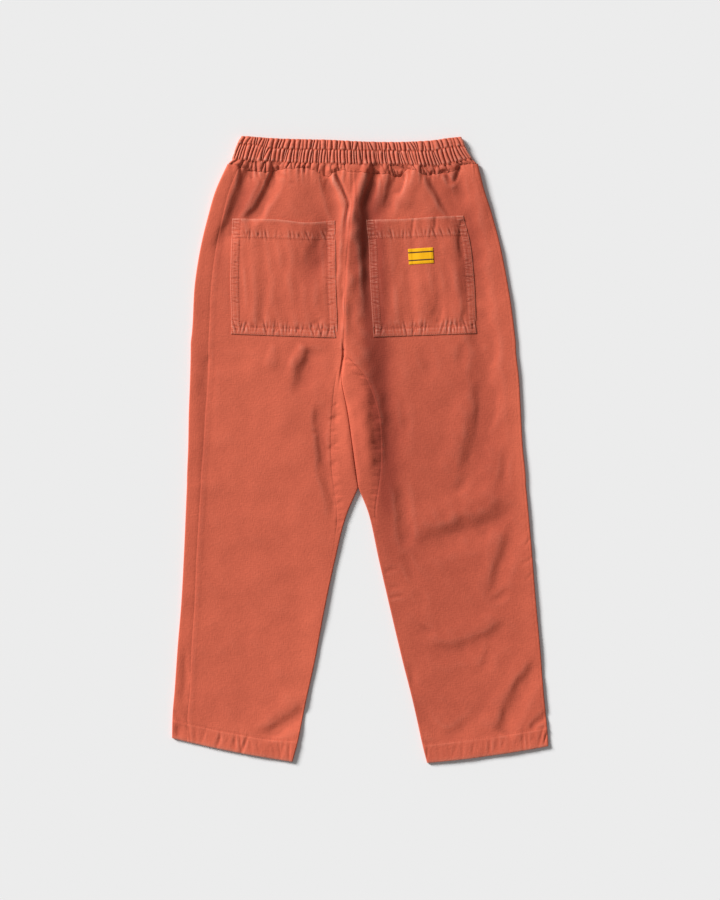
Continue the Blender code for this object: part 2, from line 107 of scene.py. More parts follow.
RIGHT_ROWS = (
    Row("waist seam", 0, 188, 457, -12, 444, 8, 0, 0.17, 0.86),
    Row("gathers", 39, 198, 418, -12, 407, 7.5, 0, 0.19, 0.87),
    Row("pocket top", 86, 211, 377, -16, 367, 7, 0, 0.205, 0.887),
    Row("pocket hem", 118, 220, 344, -19, 336, 6.5, 0, 0.195, 0.867),
    Row("pocket middle", 188, 235, 272, -24, 268, 6, 0, 0.204, 0.846),
    Row("pocket bottom", 269, 247, 189, -26, 179, 6, 0, 0.223, 0.826),
    Row("above crotch", 288, 249, 169, -27, 165, 6, 0, 0.223, 0.82),
    Row("crotch", 291, 249, 166, -27, 162, 6, 0.6, 0.223, 0.81),
    Row("slit", 341, 254, 116, -30, 116, 5.5, 38, 0.22, 0.76),
    Row("thigh", 396, 257, 61, -20, 61, 5.5, 48, 0.22, 0.74),
    Row("low thigh", 450, 260, 7, -12, 4, 5, 45, 0.22, 0.74),
    Row("above fork", 506, 265, -49, -4, -54, 5, 34, 0.22, 0.76),
    Row("fork", 512, 265, -54, -3, -60, 5, 32, 0.22, 0.76),
    Row("inner edge", 559, 269, -96, 13, -100, 5, 11, 0.22, 0.77),
    Row("knee", 626, 275, -164, 30, -176, 5, 5, 0.22, 0.77),
    Row("below knee", 700, 281, -240, 48, -254, 5, 4.5, 0.22, 0.77),
    Row("calf", 773, 288, -316, 67, -334, 5, 4.5, 0.22, 0.77),
    Row("shin", 844, 294, -392, 87, -414, 5, 4.5, 0.22, 0.77),
    Row("hem stitch", 884, 299, -443, 100, -473, 5, 4.5, 0.22, 0.77),
    Row("hem edge", 921, 301, -473, 107, -500, 5, 4.5, 0.22, 0.77),
)
DROP = {row.name: row.drop for row in LEFT_ROWS}
WAIST_LEFT, WAIST_RIGHT = LEFT_ROWS[0].outer_x, RIGHT_ROWS[0].outer_x
print(len(LEFT_ROWS), "rows on each half, down to", DROP["hem edge"], "mm")

# %% [markdown]
# ## Curves through the rows
# A cubic between two rows keeps the slopes that its neighbours give it.  At the fork the
# curve gets a corner, because there the middle line of the seat becomes an inner leg edge.

# %% Smooth curves through table values
def smooth_curve(knots, values, at, corner=None):
    """Values at any places on a smooth curve through a table, with one corner if asked."""
    knots, values = np.asarray(knots, float), np.asarray(values, float)
    gaps, slopes = np.diff(knots), np.diff(values) / np.diff(knots)
    inner = (slopes[:-1] * gaps[1:] + slopes[1:] * gaps[:-1]) / (gaps[:-1] + gaps[1:])
    leaning = np.concatenate((slopes[:1], inner, slopes[-1:]))
    i = np.clip(np.searchsorted(knots, at, side="right") - 1, 0, len(gaps) - 1)
    leave = np.where(i == corner, slopes[i], leaning[i]) if corner else leaning[i]
    arrive = np.where(i + 1 == corner, slopes[i], leaning[i + 1]) if corner else leaning[i + 1]
    t = np.clip((at - knots[i]) / gaps[i], 0, 1)
    return (values[i] * (1 + 2 * t) * (1 - t) ** 2 + values[i + 1] * t * t * (3 - 2 * t)
            + gaps[i] * (leave * t * (1 - t) ** 2 - arrive * t * t * (1 - t)))


def step(low, high, x):
    """Rise smoothly from 0 at low to 1 at high."""
    t = np.clip((x - low) / (high - low), 0, 1)
    return t * t * (3 - 2 * t)


def dip(x, width):
    """A soft notch of depth 1 at x = 0."""
    return np.exp(-(x / width) ** 2)


def quarter(share):
    """Rise of a round edge at a share of its radius from the edge."""
    return np.sqrt(1 - (1 - np.clip(share, 0, 1)) ** 2)


# %% [markdown]
# ## The waist lines
# The waistband has two stitched channels for the elastic and a narrow frill under them.
# Where it is sewn to the panels the seam wanders, because the folds of the seat pull it
# up and push it down.

# %% Lines across the waistband, in millimetres
BandStation = namedtuple("BandStation", "x top upper_stitch lower_stitch")
BAND_STATIONS = (
    BandStation(-206, 500, 490, 465),
    BandStation(-190, 500, 489, 464),
    BandStation(-170, 499, 488, 462),
    BandStation(-146, 497, 483, 461),
    BandStation(-112, 495.5, 481, 459.5),
    BandStation(-48, 494, 480, 458),
    BandStation(0, 491.5, 479, 456.5),
    BandStation(75, 491, 478, 456),
    BandStation(118, 493.5, 478.5, 454),
    BandStation(142, 497, 484, 457),
    BandStation(166, 499, 485.5, 463.5),
    BandStation(184, 499, 487, 466),
)
SeamPoint = namedtuple("SeamPoint", "x y")
WAIST_SEAM = (
    SeamPoint(-213, 457), SeamPoint(-201, 457), SeamPoint(-190, 451.5), SeamPoint(-178, 447.5),
    SeamPoint(-148, 444.5), SeamPoint(-129, 448.5), SeamPoint(-111, 449.5), SeamPoint(-83, 450),
    SeamPoint(-64, 442), SeamPoint(-50, 437), SeamPoint(-41, 444.5), SeamPoint(-12, 444.3),
    SeamPoint(14, 442.7), SeamPoint(42, 441.3), SeamPoint(67, 440), SeamPoint(75, 448.5),
    SeamPoint(86, 447.5), SeamPoint(98, 441.5), SeamPoint(131, 442.7), SeamPoint(145, 444.3),
    SeamPoint(165, 455.5), SeamPoint(189, 457.5),
)
PLAIN_SEAM = ((-212, 457), (-168, 448), (-96, 445), (-12, 444), (72, 441), (128, 444), (188, 457))
JITTER = 0.45              # small unevenness of the seam, as a sum of three waves
JITTER_LENGTHS = (1.5, 2.3, 3.7)


def waist_seam(x, plain=False):
    """Height on the garment of the waist seam at places x, wandering or plain."""
    x = np.clip(x, WAIST_LEFT, WAIST_RIGHT)
    if plain:
        return smooth_curve(*zip(*PLAIN_SEAM), x)
    jitter = sum(np.sin(x / length + k) for k, length in enumerate(JITTER_LENGTHS))
    return smooth_curve(*zip(*WAIST_SEAM), x) + JITTER * jitter


def band_line(name, x):
    """Height on the garment of one line of the waistband at places x."""
    stations = [s.x for s in BAND_STATIONS]
    return smooth_curve(stations, [getattr(s, name) for s in BAND_STATIONS],
                        np.clip(x, stations[0], stations[-1]))


print("waistband is about", round(float(band_line("top", 0.0) - waist_seam(0.0))), "mm deep")

# %% [markdown]
# ## The folds
# Canvas doesn't drape like silk: it makes long soft ridges and troughs with a few sharp
# edges.  Each fold is one curve through three places.  Its rise is positive for a ridge
# and negative for a trough, and it reaches a different way to each side, so that one
# flank is steep and the other gentle.  fade_in and fade_out are the shares of its length
# over which its ends die away.  EASE is the height of the cloth between its folds, for
# places up the garment: the hips hold more air than the hems.

# %% Folds of the upper side, in millimetres
Fold = namedtuple("Fold", "name x0 y0 x1 y1 x2 y2 rise left right fade_in fade_out")
FOLDS = (
    Fold("left hip trough", -175, 464, -197, 392, -236, 298, -4.8, 15, 24, 0.1, 0.35),
    Fold("left hip ridge", -156, 464, -173, 413, -192, 375, 1.6, 18, 10, 0.1, 0.35),
    Fold("left deep trough", -133, 492, -145, 416, -191, 357, -5.6, 12.5, 18, 0.3, 0.2),
    Fold("left plateau", -96, 464, -100, 408, -111, 359, 1.8, 34, 34, 0.2, 0.3),
    Fold("left dent", -130, 440, -122, 438, -114, 432, -0.7, 4, 4, 0.4, 0.4),
    Fold("left small dent", -116, 431, -108, 428, -100, 428, -0.7, 4, 5, 0.4, 0.4),
    Fold("plateau shade", -60, 458, -46, 405, -31, 352, -3.6, 13, 11, 0.12, 0.35),
    Fold("inner ridge", -52, 456, -34, 416, -21, 383, 2.4, 11, 6, 0.1, 0.3),
    Fold("wedge trough", -39, 452, -28, 420, -20, 389, -2.2, 4, 4, 0.15, 0.25),
    Fold("waist pit", -18, 400, -21, 373, -22, 340, -2.8, 5, 3.4, 0.25, 0.5),
    Fold("inner soft ridge", -26, 375, -32, 301, -36, 221, 1.4, 7, 6, 0.3, 0.4),
    Fold("seat fold", 20, 468, -8, 392, -12, 288, 5.1, 11, 16, 0.1, 0.35),
    Fold("seat edge", -16, 308, -23, 240, -26, 180, 2.6, 7, 13, 0.35, 0.3),
    Fold("seat swell", -13, 426, -7, 192, 14, -70, 4.6, 42, 48, 0.15, 0.15),
    Fold("seat crease", -26, 264, -28, 236, -29, 205, -1.4, 2.5, 2.5, 0.3, 0.4),
    Fold("seat trough", 32, 461, 12, 365, 20, 189, -6, 14, 24, 0.1, 0.25),
    Fold("pleat ridge", 40, 460, 30, 420, 17, 380, 2.6, 9, 8, 0.1, 0.35),
    Fold("pleat trough", 62, 458, 52, 416, 27, 362, -5.2, 15, 20, 0.1, 0.3),
    Fold("short pucker", 70, 445, 67, 426, 60, 405, -3.4, 10, 4, 0.15, 0.35),
    Fold("right bulge", 89, 464, 73, 410, 48, 380, 1.6, 16, 20, 0.15, 0.35),
    Fold("drag ridge", 89, 458, 108, 413, 134, 373, 2.6, 34, 8, 0.15, 0.3),
    Fold("drag trough", 100, 458, 122, 413, 150, 365, -3.4, 8, 30, 0.15, 0.25),
    Fold("pinch left", 129, 452, 139, 437, 147, 420, -2.6, 6, 5, 0.2, 0.3),
    Fold("pinch right", 158, 453, 153, 437, 147, 420, -2.4, 6, 5, 0.2, 0.3),
    Fold("right dent", 161, 461, 158, 426, 168, 381, -2, 11, 14, 0.15, 0.3),
    Fold("right hip ridge", 182, 464, 192, 400, 208, 336, 1.4, 14, 16, 0.15, 0.35),
    Fold("right hip band", 144, 452, 190, 240, 211, -48, -3.2, 32, 28, 0.15, 0.2),
    Fold("right pocket dome", 102, 360, 104, 272, 102, 184, 1.4, 44, 48, 0.35, 0.35),
    Fold("right pocket pull a", 87, 375, 84, 354, 81, 335, -1, 4, 5, 0.2, 0.5),
    Fold("right pocket pull b", 120, 375, 118, 357, 116, 340, -1, 4, 5, 0.2, 0.5),
    Fold("right pocket side", 163, 370, 164, 340, 161, 295, -3, 9, 6, 0.15, 0.5),
    Fold("right pocket fall a", 83, 301, 78, 264, 80, 221, -0.6, 14, 18, 0.4, 0.4),
    Fold("right pocket fall b", 129, 256, 123, 231, 113, 205, -1, 9, 14, 0.4, 0.3),
    Fold("right pocket low a", 132, 236, 128, 212, 121, 189, -0.8, 6, 7, 0.4, 0.3),
    Fold("right pocket low b", 168, 228, 164, 208, 160, 189, -0.8, 6, 7, 0.4, 0.3),
    Fold("left pocket corner", -44, 394, -61, 317, -82, 247, -3.4, 30, 22, 0.3, 0.4),
    Fold("left pocket low", -82, 196, -68, 205, -53, 213, -0.6, 5, 5, 0.4, 0.4),
    Fold("crotch triangle", -135, 175, -141, 149, -146, 124, 1.2, 13, 14, 0.3, 0.4),
    Fold("crotch ridge", -90, 172, -103, 144, -122, 106, 2.2, 12, 12, 0.2, 0.4),
    Fold("crotch trough", -76, 167, -87, 128, -106, 80, -2.6, 15, 32, 0.2, 0.35),
    Fold("left thigh trough", -66, 80, -60, -3, -36, -152, -2.6, 13, 22, 0.25, 0.35),
    Fold("thigh mark a", -82, 28, -68, 28, -53, 29, -0.8, 8, 4, 0.4, 0.4),
    Fold("thigh mark b", -64, 29, -61, 0, -60, -28, -1.2, 7, 9, 0.3, 0.4),
    Fold("thigh mark c", -52, -44, -45, -75, -42, -112, -1, 7, 9, 0.4, 0.4),
    Fold("left side trough", -247, 180, -250, 80, -248, -28, -1, 13, 26, 0.3, 0.4),
    Fold("left side pull", -234, 168, -247, 125, -256, 84, -0.7, 5, 7, 0.4, 0.4),
    Fold("left shin side", -276, -304, -279, -358, -281, -416, -2.2, 8, 7, 0.4, 0.3),
    Fold("left hem ridge", -93, -384, -135, -422, -183, -438, 1.3, 26, 16, 0.2, 0.4),
    Fold("left hem drag", -84, -408, -122, -443, -173, -454, -2.4, 16, 18, 0.12, 0.35),
    Fold("left hem corner", -301, -417, -290, -428, -277, -440, -1.2, 4, 6, 0.1, 0.4),
    Fold("left corner shade", -287, -435, -290, -448, -293, -462, -1.2, 5, 7, 0.3, 0.2),
    Fold("left thigh band", -280, -88, -176, -84, -61, -92, -0.5, 26, 30, 0.3, 0.3),
    Fold("left high band", -256, 140, -205, 143, -157, 138, -0.5, 18, 16, 0.3, 0.3),
    Fold("left inner edge pull", -26, 180, -28, 141, -35, 90, -3, 3, 4.5, 0.35, 0.65),
    Fold("valley", -28, 100, -15, 29, -3, -59, -1.4, 6, 4, 0.3, 0.1),
    Fold("thigh ridge", 3, 125, 14, 48, 16, -44, 2, 20, 9, 0.4, 0.3),
    Fold("thigh trough", 22, 183, 41, 80, 46, -38, -2.8, 17, 40, 0.3, 0.25),
    Fold("thigh crease", 17, 96, 19, 36, 16, -25, -0.8, 2.4, 3, 0.4, 0.4),
    Fold("inner spot", 60, -48, 69, -105, 72, -161, -2.3, 14, 20, 0.25, 0.25),
    Fold("thigh soft a", 70, 93, 72, 56, 70, 16, -0.7, 9, 15, 0.4, 0.4),
    Fold("below pocket a", 161, 175, 164, 151, 158, 119, -1.2, 11, 14, 0.35, 0.4),
    Fold("below pocket b", 211, 196, 209, 157, 203, 112, -1.4, 13, 18, 0.4, 0.4),
    Fold("hip drag", 208, 116, 188, 32, 172, -80, -2.6, 24, 32, 0.35, 0.3),
    Fold("hip drag bank", 182, 122, 164, 36, 142, -67, 1.6, 32, 24, 0.35, 0.3),
    Fold("hip soft", 233, 20, 230, -32, 222, -80, -1, 11, 13, 0.4, 0.4),
    Fold("low thigh blot", 176, -35, 161, -57, 144, -70, -1.1, 14, 15, 0.4, 0.4),
    Fold("long drag", 249, -88, 177, -131, 59, -152, -2.8, 30, 36, 0.2, 0.35),
    Fold("long drag bank", 243, -62, 161, -102, 64, -121, 2.8, 40, 30, 0.2, 0.35),
    Fold("shin drag", 249, -112, 225, -179, 208, -252, -1.8, 14, 28, 0.25, 0.4),
    Fold("shin drag bank", 233, -115, 211, -176, 188, -246, 1.1, 22, 14, 0.3, 0.4),
    Fold("shin pull", 243, -219, 224, -235, 206, -246, -1.1, 9, 12, 0.4, 0.4),
    Fold("knee smile", 241, -275, 179, -313, 89, -323, -1.6, 18, 30, 0.2, 0.35),
    Fold("knee bank", 236, -256, 169, -294, 92, -304, 1.2, 26, 16, 0.2, 0.35),
    Fold("edge crease a", 278, -137, 267, -148, 252, -158, -0.7, 3, 4, 0.3, 0.4),
    Fold("edge crease b", 280, -164, 268, -177, 251, -187, -0.7, 3, 4, 0.3, 0.4),
    Fold("edge crease c", 281, -192, 270, -201, 256, -211, -0.6, 3, 4, 0.3, 0.4),
    Fold("right hem drag", 292, -329, 252, -393, 224, -459, -2.4, 17, 26, 0.2, 0.1),
    Fold("right hem bank", 275, -328, 233, -390, 201, -456, 1.2, 24, 16, 0.25, 0.15),
    Fold("right hem corner", 302, -419, 286, -433, 273, -451, -1.6, 7, 6, 0.1, 0.2),
    Fold("hem smile", 94, -403, 139, -454, 200, -403, -1.2, 20, 14, 0.3, 0.3),
    Fold("hem soft c", 78, -334, 86, -361, 89, -387, -0.7, 8, 9, 0.4, 0.4),
    Fold("inner crease a", 40, -195, 51, -192, 62, -188, -0.7, 5, 5, 0.2, 0.5),
    Fold("inner crease b", 44, -238, 59, -233, 75, -227, -0.9, 4, 5, 0.2, 0.5),
    Fold("inner crease e", 46, -220, 57, -217, 70, -216, -0.6, 3, 4, 0.2, 0.5),
    Fold("knee blot", 91, -284, 107, -288, 123, -292, -1, 12, 10, 0.4, 0.4),
    Fold("shin blot", 216, -308, 206, -332, 196, -356, -1, 12, 15, 0.4, 0.4),
    Fold("thigh blot", 96, 172, 107, 141, 116, 106, -1, 13, 17, 0.4, 0.4),
    Fold("inner crease c", 62, -161, 78, -187, 96, -220, -1.2, 12, 15, 0.4, 0.4),
    Fold("inner crease d", 86, -220, 96, -238, 104, -256, -0.9, 10, 12, 0.4, 0.4),
)
FOLD_PARTS = 12            # straight parts that a fold's curve is measured on
EASE = ((-500, 5.4), (-200, 5.6), (0, 5.8), (170, 6.2), (270, 6.4), (370, 7.0), (415, 8.0),
        (460, 9.4), (500, 9.4))
print(len(FOLDS), "folds placed by hand")


def fold_rise(fold, x, y):
    """What one fold adds to the height of the cloth at places x, y."""
    start, middle, end = (np.array(p, float) for p in
                          ((fold.x0, fold.y0), (fold.x1, fold.y1), (fold.x2, fold.y2)))
    t = np.linspace(0, 1, FOLD_PARTS + 1)[:, None]
    pull = 2 * middle - (start + end) / 2
    curve = (1 - t) ** 2 * start + 2 * t * (1 - t) * pull + t ** 2 * end
    reach = max(fold.left, fold.right)
    low, high = curve.min(axis=0) - reach, curve.max(axis=0) + reach
    near = (x > low[0]) & (x < high[0]) & (y > low[1]) & (y < high[1])
    rise = np.zeros(x.shape)
    if not near.any():
        return rise
    run = np.diff(curve, axis=0)
    dx, dy = x[near][:, None] - curve[:-1, 0], y[near][:, None] - curve[:-1, 1]
    t = np.clip((dx * run[:, 0] + dy * run[:, 1]) / (run ** 2).sum(axis=1), 0, 1)
    away = np.hypot(dx - t * run[:, 0], dy - t * run[:, 1])
    piece = away.argmin(axis=1)
    pick = np.arange(len(piece)), piece
    side = dx[pick] * run[piece, 1] - dy[pick] * run[piece, 0]
    along = (piece + t[pick]) / len(run)
    across = np.clip(1 - (away[pick] / np.where(side < 0, fold.right, fold.left)) ** 2, 0, 1) ** 2
    ends = step(0, fold.fade_in, along) * step(0, fold.fade_out, 1 - along)
    rise[near] = fold.rise * across * ends
    return rise


# %% [markdown]
# ## Rumple
# A washed canvas is never flat between its folds.  A sum of long seeded waves in all
# directions gives that slight unevenness, the same on each run.

# %% Height of the upper and lower cloth
RUMPLE = 0.35              # millimetres of rise for a wave of this length; shorter are lower
RUMPLE_LENGTH = 80
RUMPLE_SUM = 5.5           # what 60 waves add up to beside one, so each is as much lower
WAVER = 0.55               # millimetres by which the line of a fold wavers, for each wave
UNEVEN = 0.035             # share by which its depth does
EDGE_ROUND = 0.32          # how round an edge is, as a share of the height of the cloth
LEAST_HEIGHT = 3.0         # the upper cloth never sinks below this between its seams
SEAM_SINK = 0.6            # and no more than this below that in a seam
WHOLE_TURN = 6.3           # radians, near enough
Wave = namedtuple("Wave", "u v phase length")
random = np.random.default_rng(11)


def waves(shortest, longest, count):
    """Waves of seeded lengths, directions and phases."""
    return [Wave(2 * math.pi / length * math.cos(turn), 2 * math.pi / length * math.sin(turn),
                 phase, length)
            for length, turn, phase in zip(random.uniform(shortest, longest, count),
                                           random.uniform(0, WHOLE_TURN, count),
                                           random.uniform(0, WHOLE_TURN, count))]


rumple_waves = waves(18, 120, 60)
waver_waves = waves(24, 70, 16)
uneven_waves = waves(18, 50, 9)


def swing(wave, x, y, shift=0.0):
    """One wave between -1 and 1 at places x, y."""
    return np.sin(x * wave.u + y * wave.v + wave.phase + shift)


def rumple(x, y, shift=0.0):
    """Slight unevenness of the cloth at places x, y."""
    return sum(RUMPLE * wave.length / RUMPLE_LENGTH / RUMPLE_SUM * swing(wave, x, y, shift)
               for wave in rumple_waves)


def folded(x, y):
    """What all folds add at places x, y; their lines and depths waver, as in real cloth."""
    dx, dy = (sum(WAVER * swing(wave, x, y) for wave in some)
              for some in (waver_waves[:8], waver_waves[8:]))
    depth = 1 + sum(UNEVEN * swing(wave, x, y) for wave in uneven_waves)
    return depth * sum(fold_rise(fold, x + dx, y + dy) for fold in FOLDS)


def upper_height(x, y):
    """Height of the upper cloth off the table at places x, y, without its seams."""
    return np.maximum(smooth_curve(*zip(*EASE), y) + rumple(x, y) + folded(x, y), LEAST_HEIGHT)


def edge_round(y):
    """How far from an edge the cloth starts to turn over, at heights y on the garment."""
    return EDGE_ROUND * smooth_curve(*zip(*EASE), y)


def under_hollow(x, y):
    """How far the lower cloth stands off the table: almost everywhere not at all."""
    return np.clip(rumple(x, y, shift=2.0) - 0.25, 0, 0.8)


# %% [markdown]
# ## Gathers and puckers
# Wherever cloth is eased onto a tape or an elastic it stands in small puffs with narrow
# valleys between them.  The spacing is never regular, so the valleys come from a seeded
# list of places, and each puff is as high as it is wide.

# %% Irregular places, puffs between them and short puckers across a seam
def scatter(start, end, pitch, seed, spread=0.35):
    """Irregular places from start to end, about a pitch apart."""
    random = np.random.default_rng(seed)
    gaps = pitch * random.uniform(1 - spread, 1 + spread, int((end - start) / pitch) + 2)
    places = start + np.concatenate(([0], np.cumsum(gaps)))
    return start + (places - start) * (end - start) / (places[-1] - start)


def puff(places, floors, at):
    """Height between the valleys' floors and about 1 on the crest of an average puff."""
    k = np.clip(np.searchsorted(places, at), 1, len(places) - 1)
    half = (places[k] - places[k - 1]) / 2
    u = np.clip((at - places[k - 1] - half) / half, -1, 1)
    usual = np.mean(np.diff(places)) / 2
    floor = floors[k - 1] + (floors[k] - floors[k - 1]) * (u + 1) / 2
    return floor + ((half / usual) ** 0.4 - floor) * (1 - u * u) ** 0.75


def standing(z, reach):
    """How far places of a grid stand above the average around them."""
    smooth = z
    for axis in (0, 1):
        edge = [(reach, reach) if k == axis else (0, 0) for k in (0, 1)]
        padded = np.pad(smooth, edge, mode="edge")
        smooth = sum(np.take(padded, range(k, k + z.shape[axis]), axis)
                     for k in range(2 * reach + 1)) / (2 * reach + 1)
    return z - smooth


Puckers = namedtuple("Puckers", "valleys depth width reach lean seed")


def puckers(along, away, kind):
    """Short creases that cross a seam: their dip at a place along and away from it."""
    random = np.random.default_rng(kind.seed)
    count = len(kind.valleys)
    deep = kind.depth * random.uniform(0.15, 1, count) ** 1.7      # most are shallow
    long = kind.reach * random.uniform(0.5, 1.3, count)
    leaning = kind.lean + random.uniform(-0.3, 0.3, count)
    k = np.clip(np.searchsorted(kind.valleys, along), 1, count - 1)
    dips = 0
    for j in (k - 1, k):
        beside = along - kind.valleys[j] - leaning[j] * away
        dips = dips - deep[j] * dip(beside, kind.width) * dip(away, long[j])
    return dips


# %% [markdown]
# ## Laying a half on the table
# A place on the cloth is given by its row and by its distance from the outer edge.  Near
# an edge the cloth turns over on a small round, down to half its height, where the
# underside takes over.  Between the crotch and the fork the two legs part bit by bit.
# The two halves were sewn alike but lie differently, so each has depths of its own for
# its seams and puckers, the painted shade along its seams, the drops between which its
# thigh puckers begin, the lines of the grid across its outer strip, and the sag of its
# pocket's opening.

# %% Places on the cloth of a half
Half = namedtuple("Half", "side rows hem_depth hem_deeper hem_pucker outseam outseam_allowance "
                          "outseam_pucker outseam_wear inseam inseam_wear thigh_begin "
                          "strip_lines sag sag_at sag_width")
LEFT = Half("left", LEFT_ROWS, hem_depth=29.0, hem_deeper=4, hem_pucker=2.2, outseam=0.3,
            outseam_allowance=0.7, outseam_pucker=0.45, outseam_wear=0.15, inseam=0.3,
            inseam_wear=0.2, thigh_begin=(350, 400), strip_lines=3, sag=5.0, sag_at=0.72,
            sag_width=0.2)
RIGHT = Half("right", RIGHT_ROWS, hem_depth=30.0, hem_deeper=0, hem_pucker=1.7, outseam=0.1,
             outseam_allowance=0, outseam_pucker=0.12, outseam_wear=0.03, inseam=0.6,
             inseam_wear=0.45, thigh_begin=(294, 312), strip_lines=0, sag=1.5, sag_at=0.6,
             sag_width=0.25)
FORK = [row.name for row in LEFT_ROWS].index("fork")
SEAM_GAP = 0.06            # between the edges of two panels, all but closed
SEAM_PULL = 34             # how far down the wandering waist seam pulls the cloth along
HEM_BOW = 2.5              # the middle of a hem edge hangs this much below its ends


def across(half, field, drop):
    """One column of a half's table at any drops."""
    return smooth_curve([r.drop for r in half.rows], [getattr(r, field) for r in half.rows],
                        drop, FORK)


def row_length(half, drop):
    """Length of the rows of a half at any drops."""
    return np.hypot(across(half, "inner_x", drop) - across(half, "outer_x", drop),
                    across(half, "inner_y", drop) - across(half, "outer_y", drop))


def lay(half, drop, away):
    """Plan places of the cloth at drops and at distances from the outer edge."""
    outer_x, outer_y = across(half, "outer_x", drop), across(half, "outer_y", drop)
    share = away / row_length(half, drop)
    x = outer_x + (across(half, "inner_x", drop) - outer_x) * share
    y = outer_y + (across(half, "inner_y", drop) - outer_y) * share
    first = half.rows[0]
    level = np.clip((x - first.outer_x) / (first.inner_x - first.outer_x), 0, 1)
    straight = first.outer_y + (first.inner_y - first.outer_y) * level
    plain = waist_seam(x, plain=True)
    y = y + (1 - np.minimum(drop / DROP["pocket top"], 1)) ** 2 * (plain - straight)
    y = y + (1 - step(0, SEAM_PULL, drop)) * (waist_seam(x) - plain)
    low = np.maximum(drop - DROP["below knee"], 0) / (DROP["hem edge"] - DROP["below knee"])
    return x, y - HEM_BOW * low * 4 * share * (1 - share)


def hem_at(half, share):
    """Depth of the hem at shares of the row; the left one was turned deeper inwards."""
    return half.hem_depth + half.hem_deeper * step(0.75, 1, share)


def to_hem_edge(half, drop, away, y):
    """Distance of places from the hem edge, measured down the garment."""
    share = away / row_length(half, drop)
    end = np.full(np.shape(drop), float(DROP["hem edge"]))
    return y - lay(half, end, share * row_length(half, end))[1]


# %% [markdown]
# ## Seams and hems
# A seam is two edges turned in and sewn: from outside it is a narrow groove, and the
# allowance that is pressed to one side lifts the cloth beside it.  The hem is folded up
# twice and sewn, so the band is thicker, and the row of stitches pulls it in.

# %% Relief of the seams and hems
BAND_WIDTH = WAIST_RIGHT - WAIST_LEFT
Strip = namedtuple("Strip", "valleys lean floors")
random = np.random.default_rng(64)
STRIPS = []
for pitch, seed in ((6.8, 5), (5.4, 6), (8.2, 7)):     # each row of stitches starts them anew
    places = scatter(0, 2, pitch / BAND_WIDTH, seed, 0.55)      # back, then front, in widths
    STRIPS.append(Strip(places, random.normal(0, 0.3, len(places)) * pitch / BAND_WIDTH,
                        random.uniform(0, 1, len(places)) ** 1.6 * 0.75))
print([len(strip.valleys) for strip in STRIPS], "gathers round the waist, strip by strip")
# Along the outseam and the hem each half has a depth of its own, which replaces the 1.
OUTSEAM_PUCKERS = Puckers(scatter(0, 1000, 11, 21, 0.6), depth=1, width=3.2, reach=9,
                          lean=0.4, seed=3)
THIGH_PUCKERS = Puckers(scatter(0, 1000, 6.5, 22, 0.5), depth=2.8, width=2.0, reach=6,
                        lean=0.25, seed=4)
WAIST_PUCKERS = Puckers(scatter(-220, 200, 8, 35, 0.7), depth=2.4, width=2.4, reach=17,
                        lean=0.0, seed=9)
HEM_PUCKERS = Puckers(scatter(-320, 320, 7.5, 33, 0.7), depth=1, width=2.0, reach=13,
                      lean=0.1, seed=8)
FELLED_MIDDLE = -10.5      # the flat felled piece at the centre back, between two rows
FELLED_HALF = 3.5
FELLED_END = (46, 52)      # the drops between which it ends
THIGH_END = (520, 640)     # the drops between which the thigh puckers end


def gathered(g, level):
    """Puffs of the waistband at g widths from its left end, at one level of 0 to 3."""
    total = 0
    for k, strip in enumerate(STRIPS):
        here = (step(k - 0.07, k + 0.07, level) if k else 1) \
            * (1 - step(k + 0.93, k + 1.07, level) if k < 2 else 1)
        if here:
            places = strip.valleys + strip.lean * (level - k - 0.5)
            order = np.argsort(places)
            total = total + here * puff(places[order], strip.floors[order], g)
    return total


def plain_piece(x):
    """1 on the flat felled piece at the centre back, where nothing is gathered."""
    return step(-26, -18, x) * (1 - step(9, 15, x))


def groove(distance, depth=0.9, width=1.2):
    """The narrow valley along a seam."""
    return -depth * dip(distance, width)


def allowance(distance, wide=9.0, rise=0.45):
    """The step of a pressed seam allowance beside a seam."""
    return rise * step(0, 2.5, distance) * (1 - step(wide - 2, wide + 1, distance))


def inseam_shows(half, drop):
    """0 where the inner strip is too narrow to show its seam, up to 1 where it is wide."""
    return step(5, 12, across(half, "roll_in", drop))


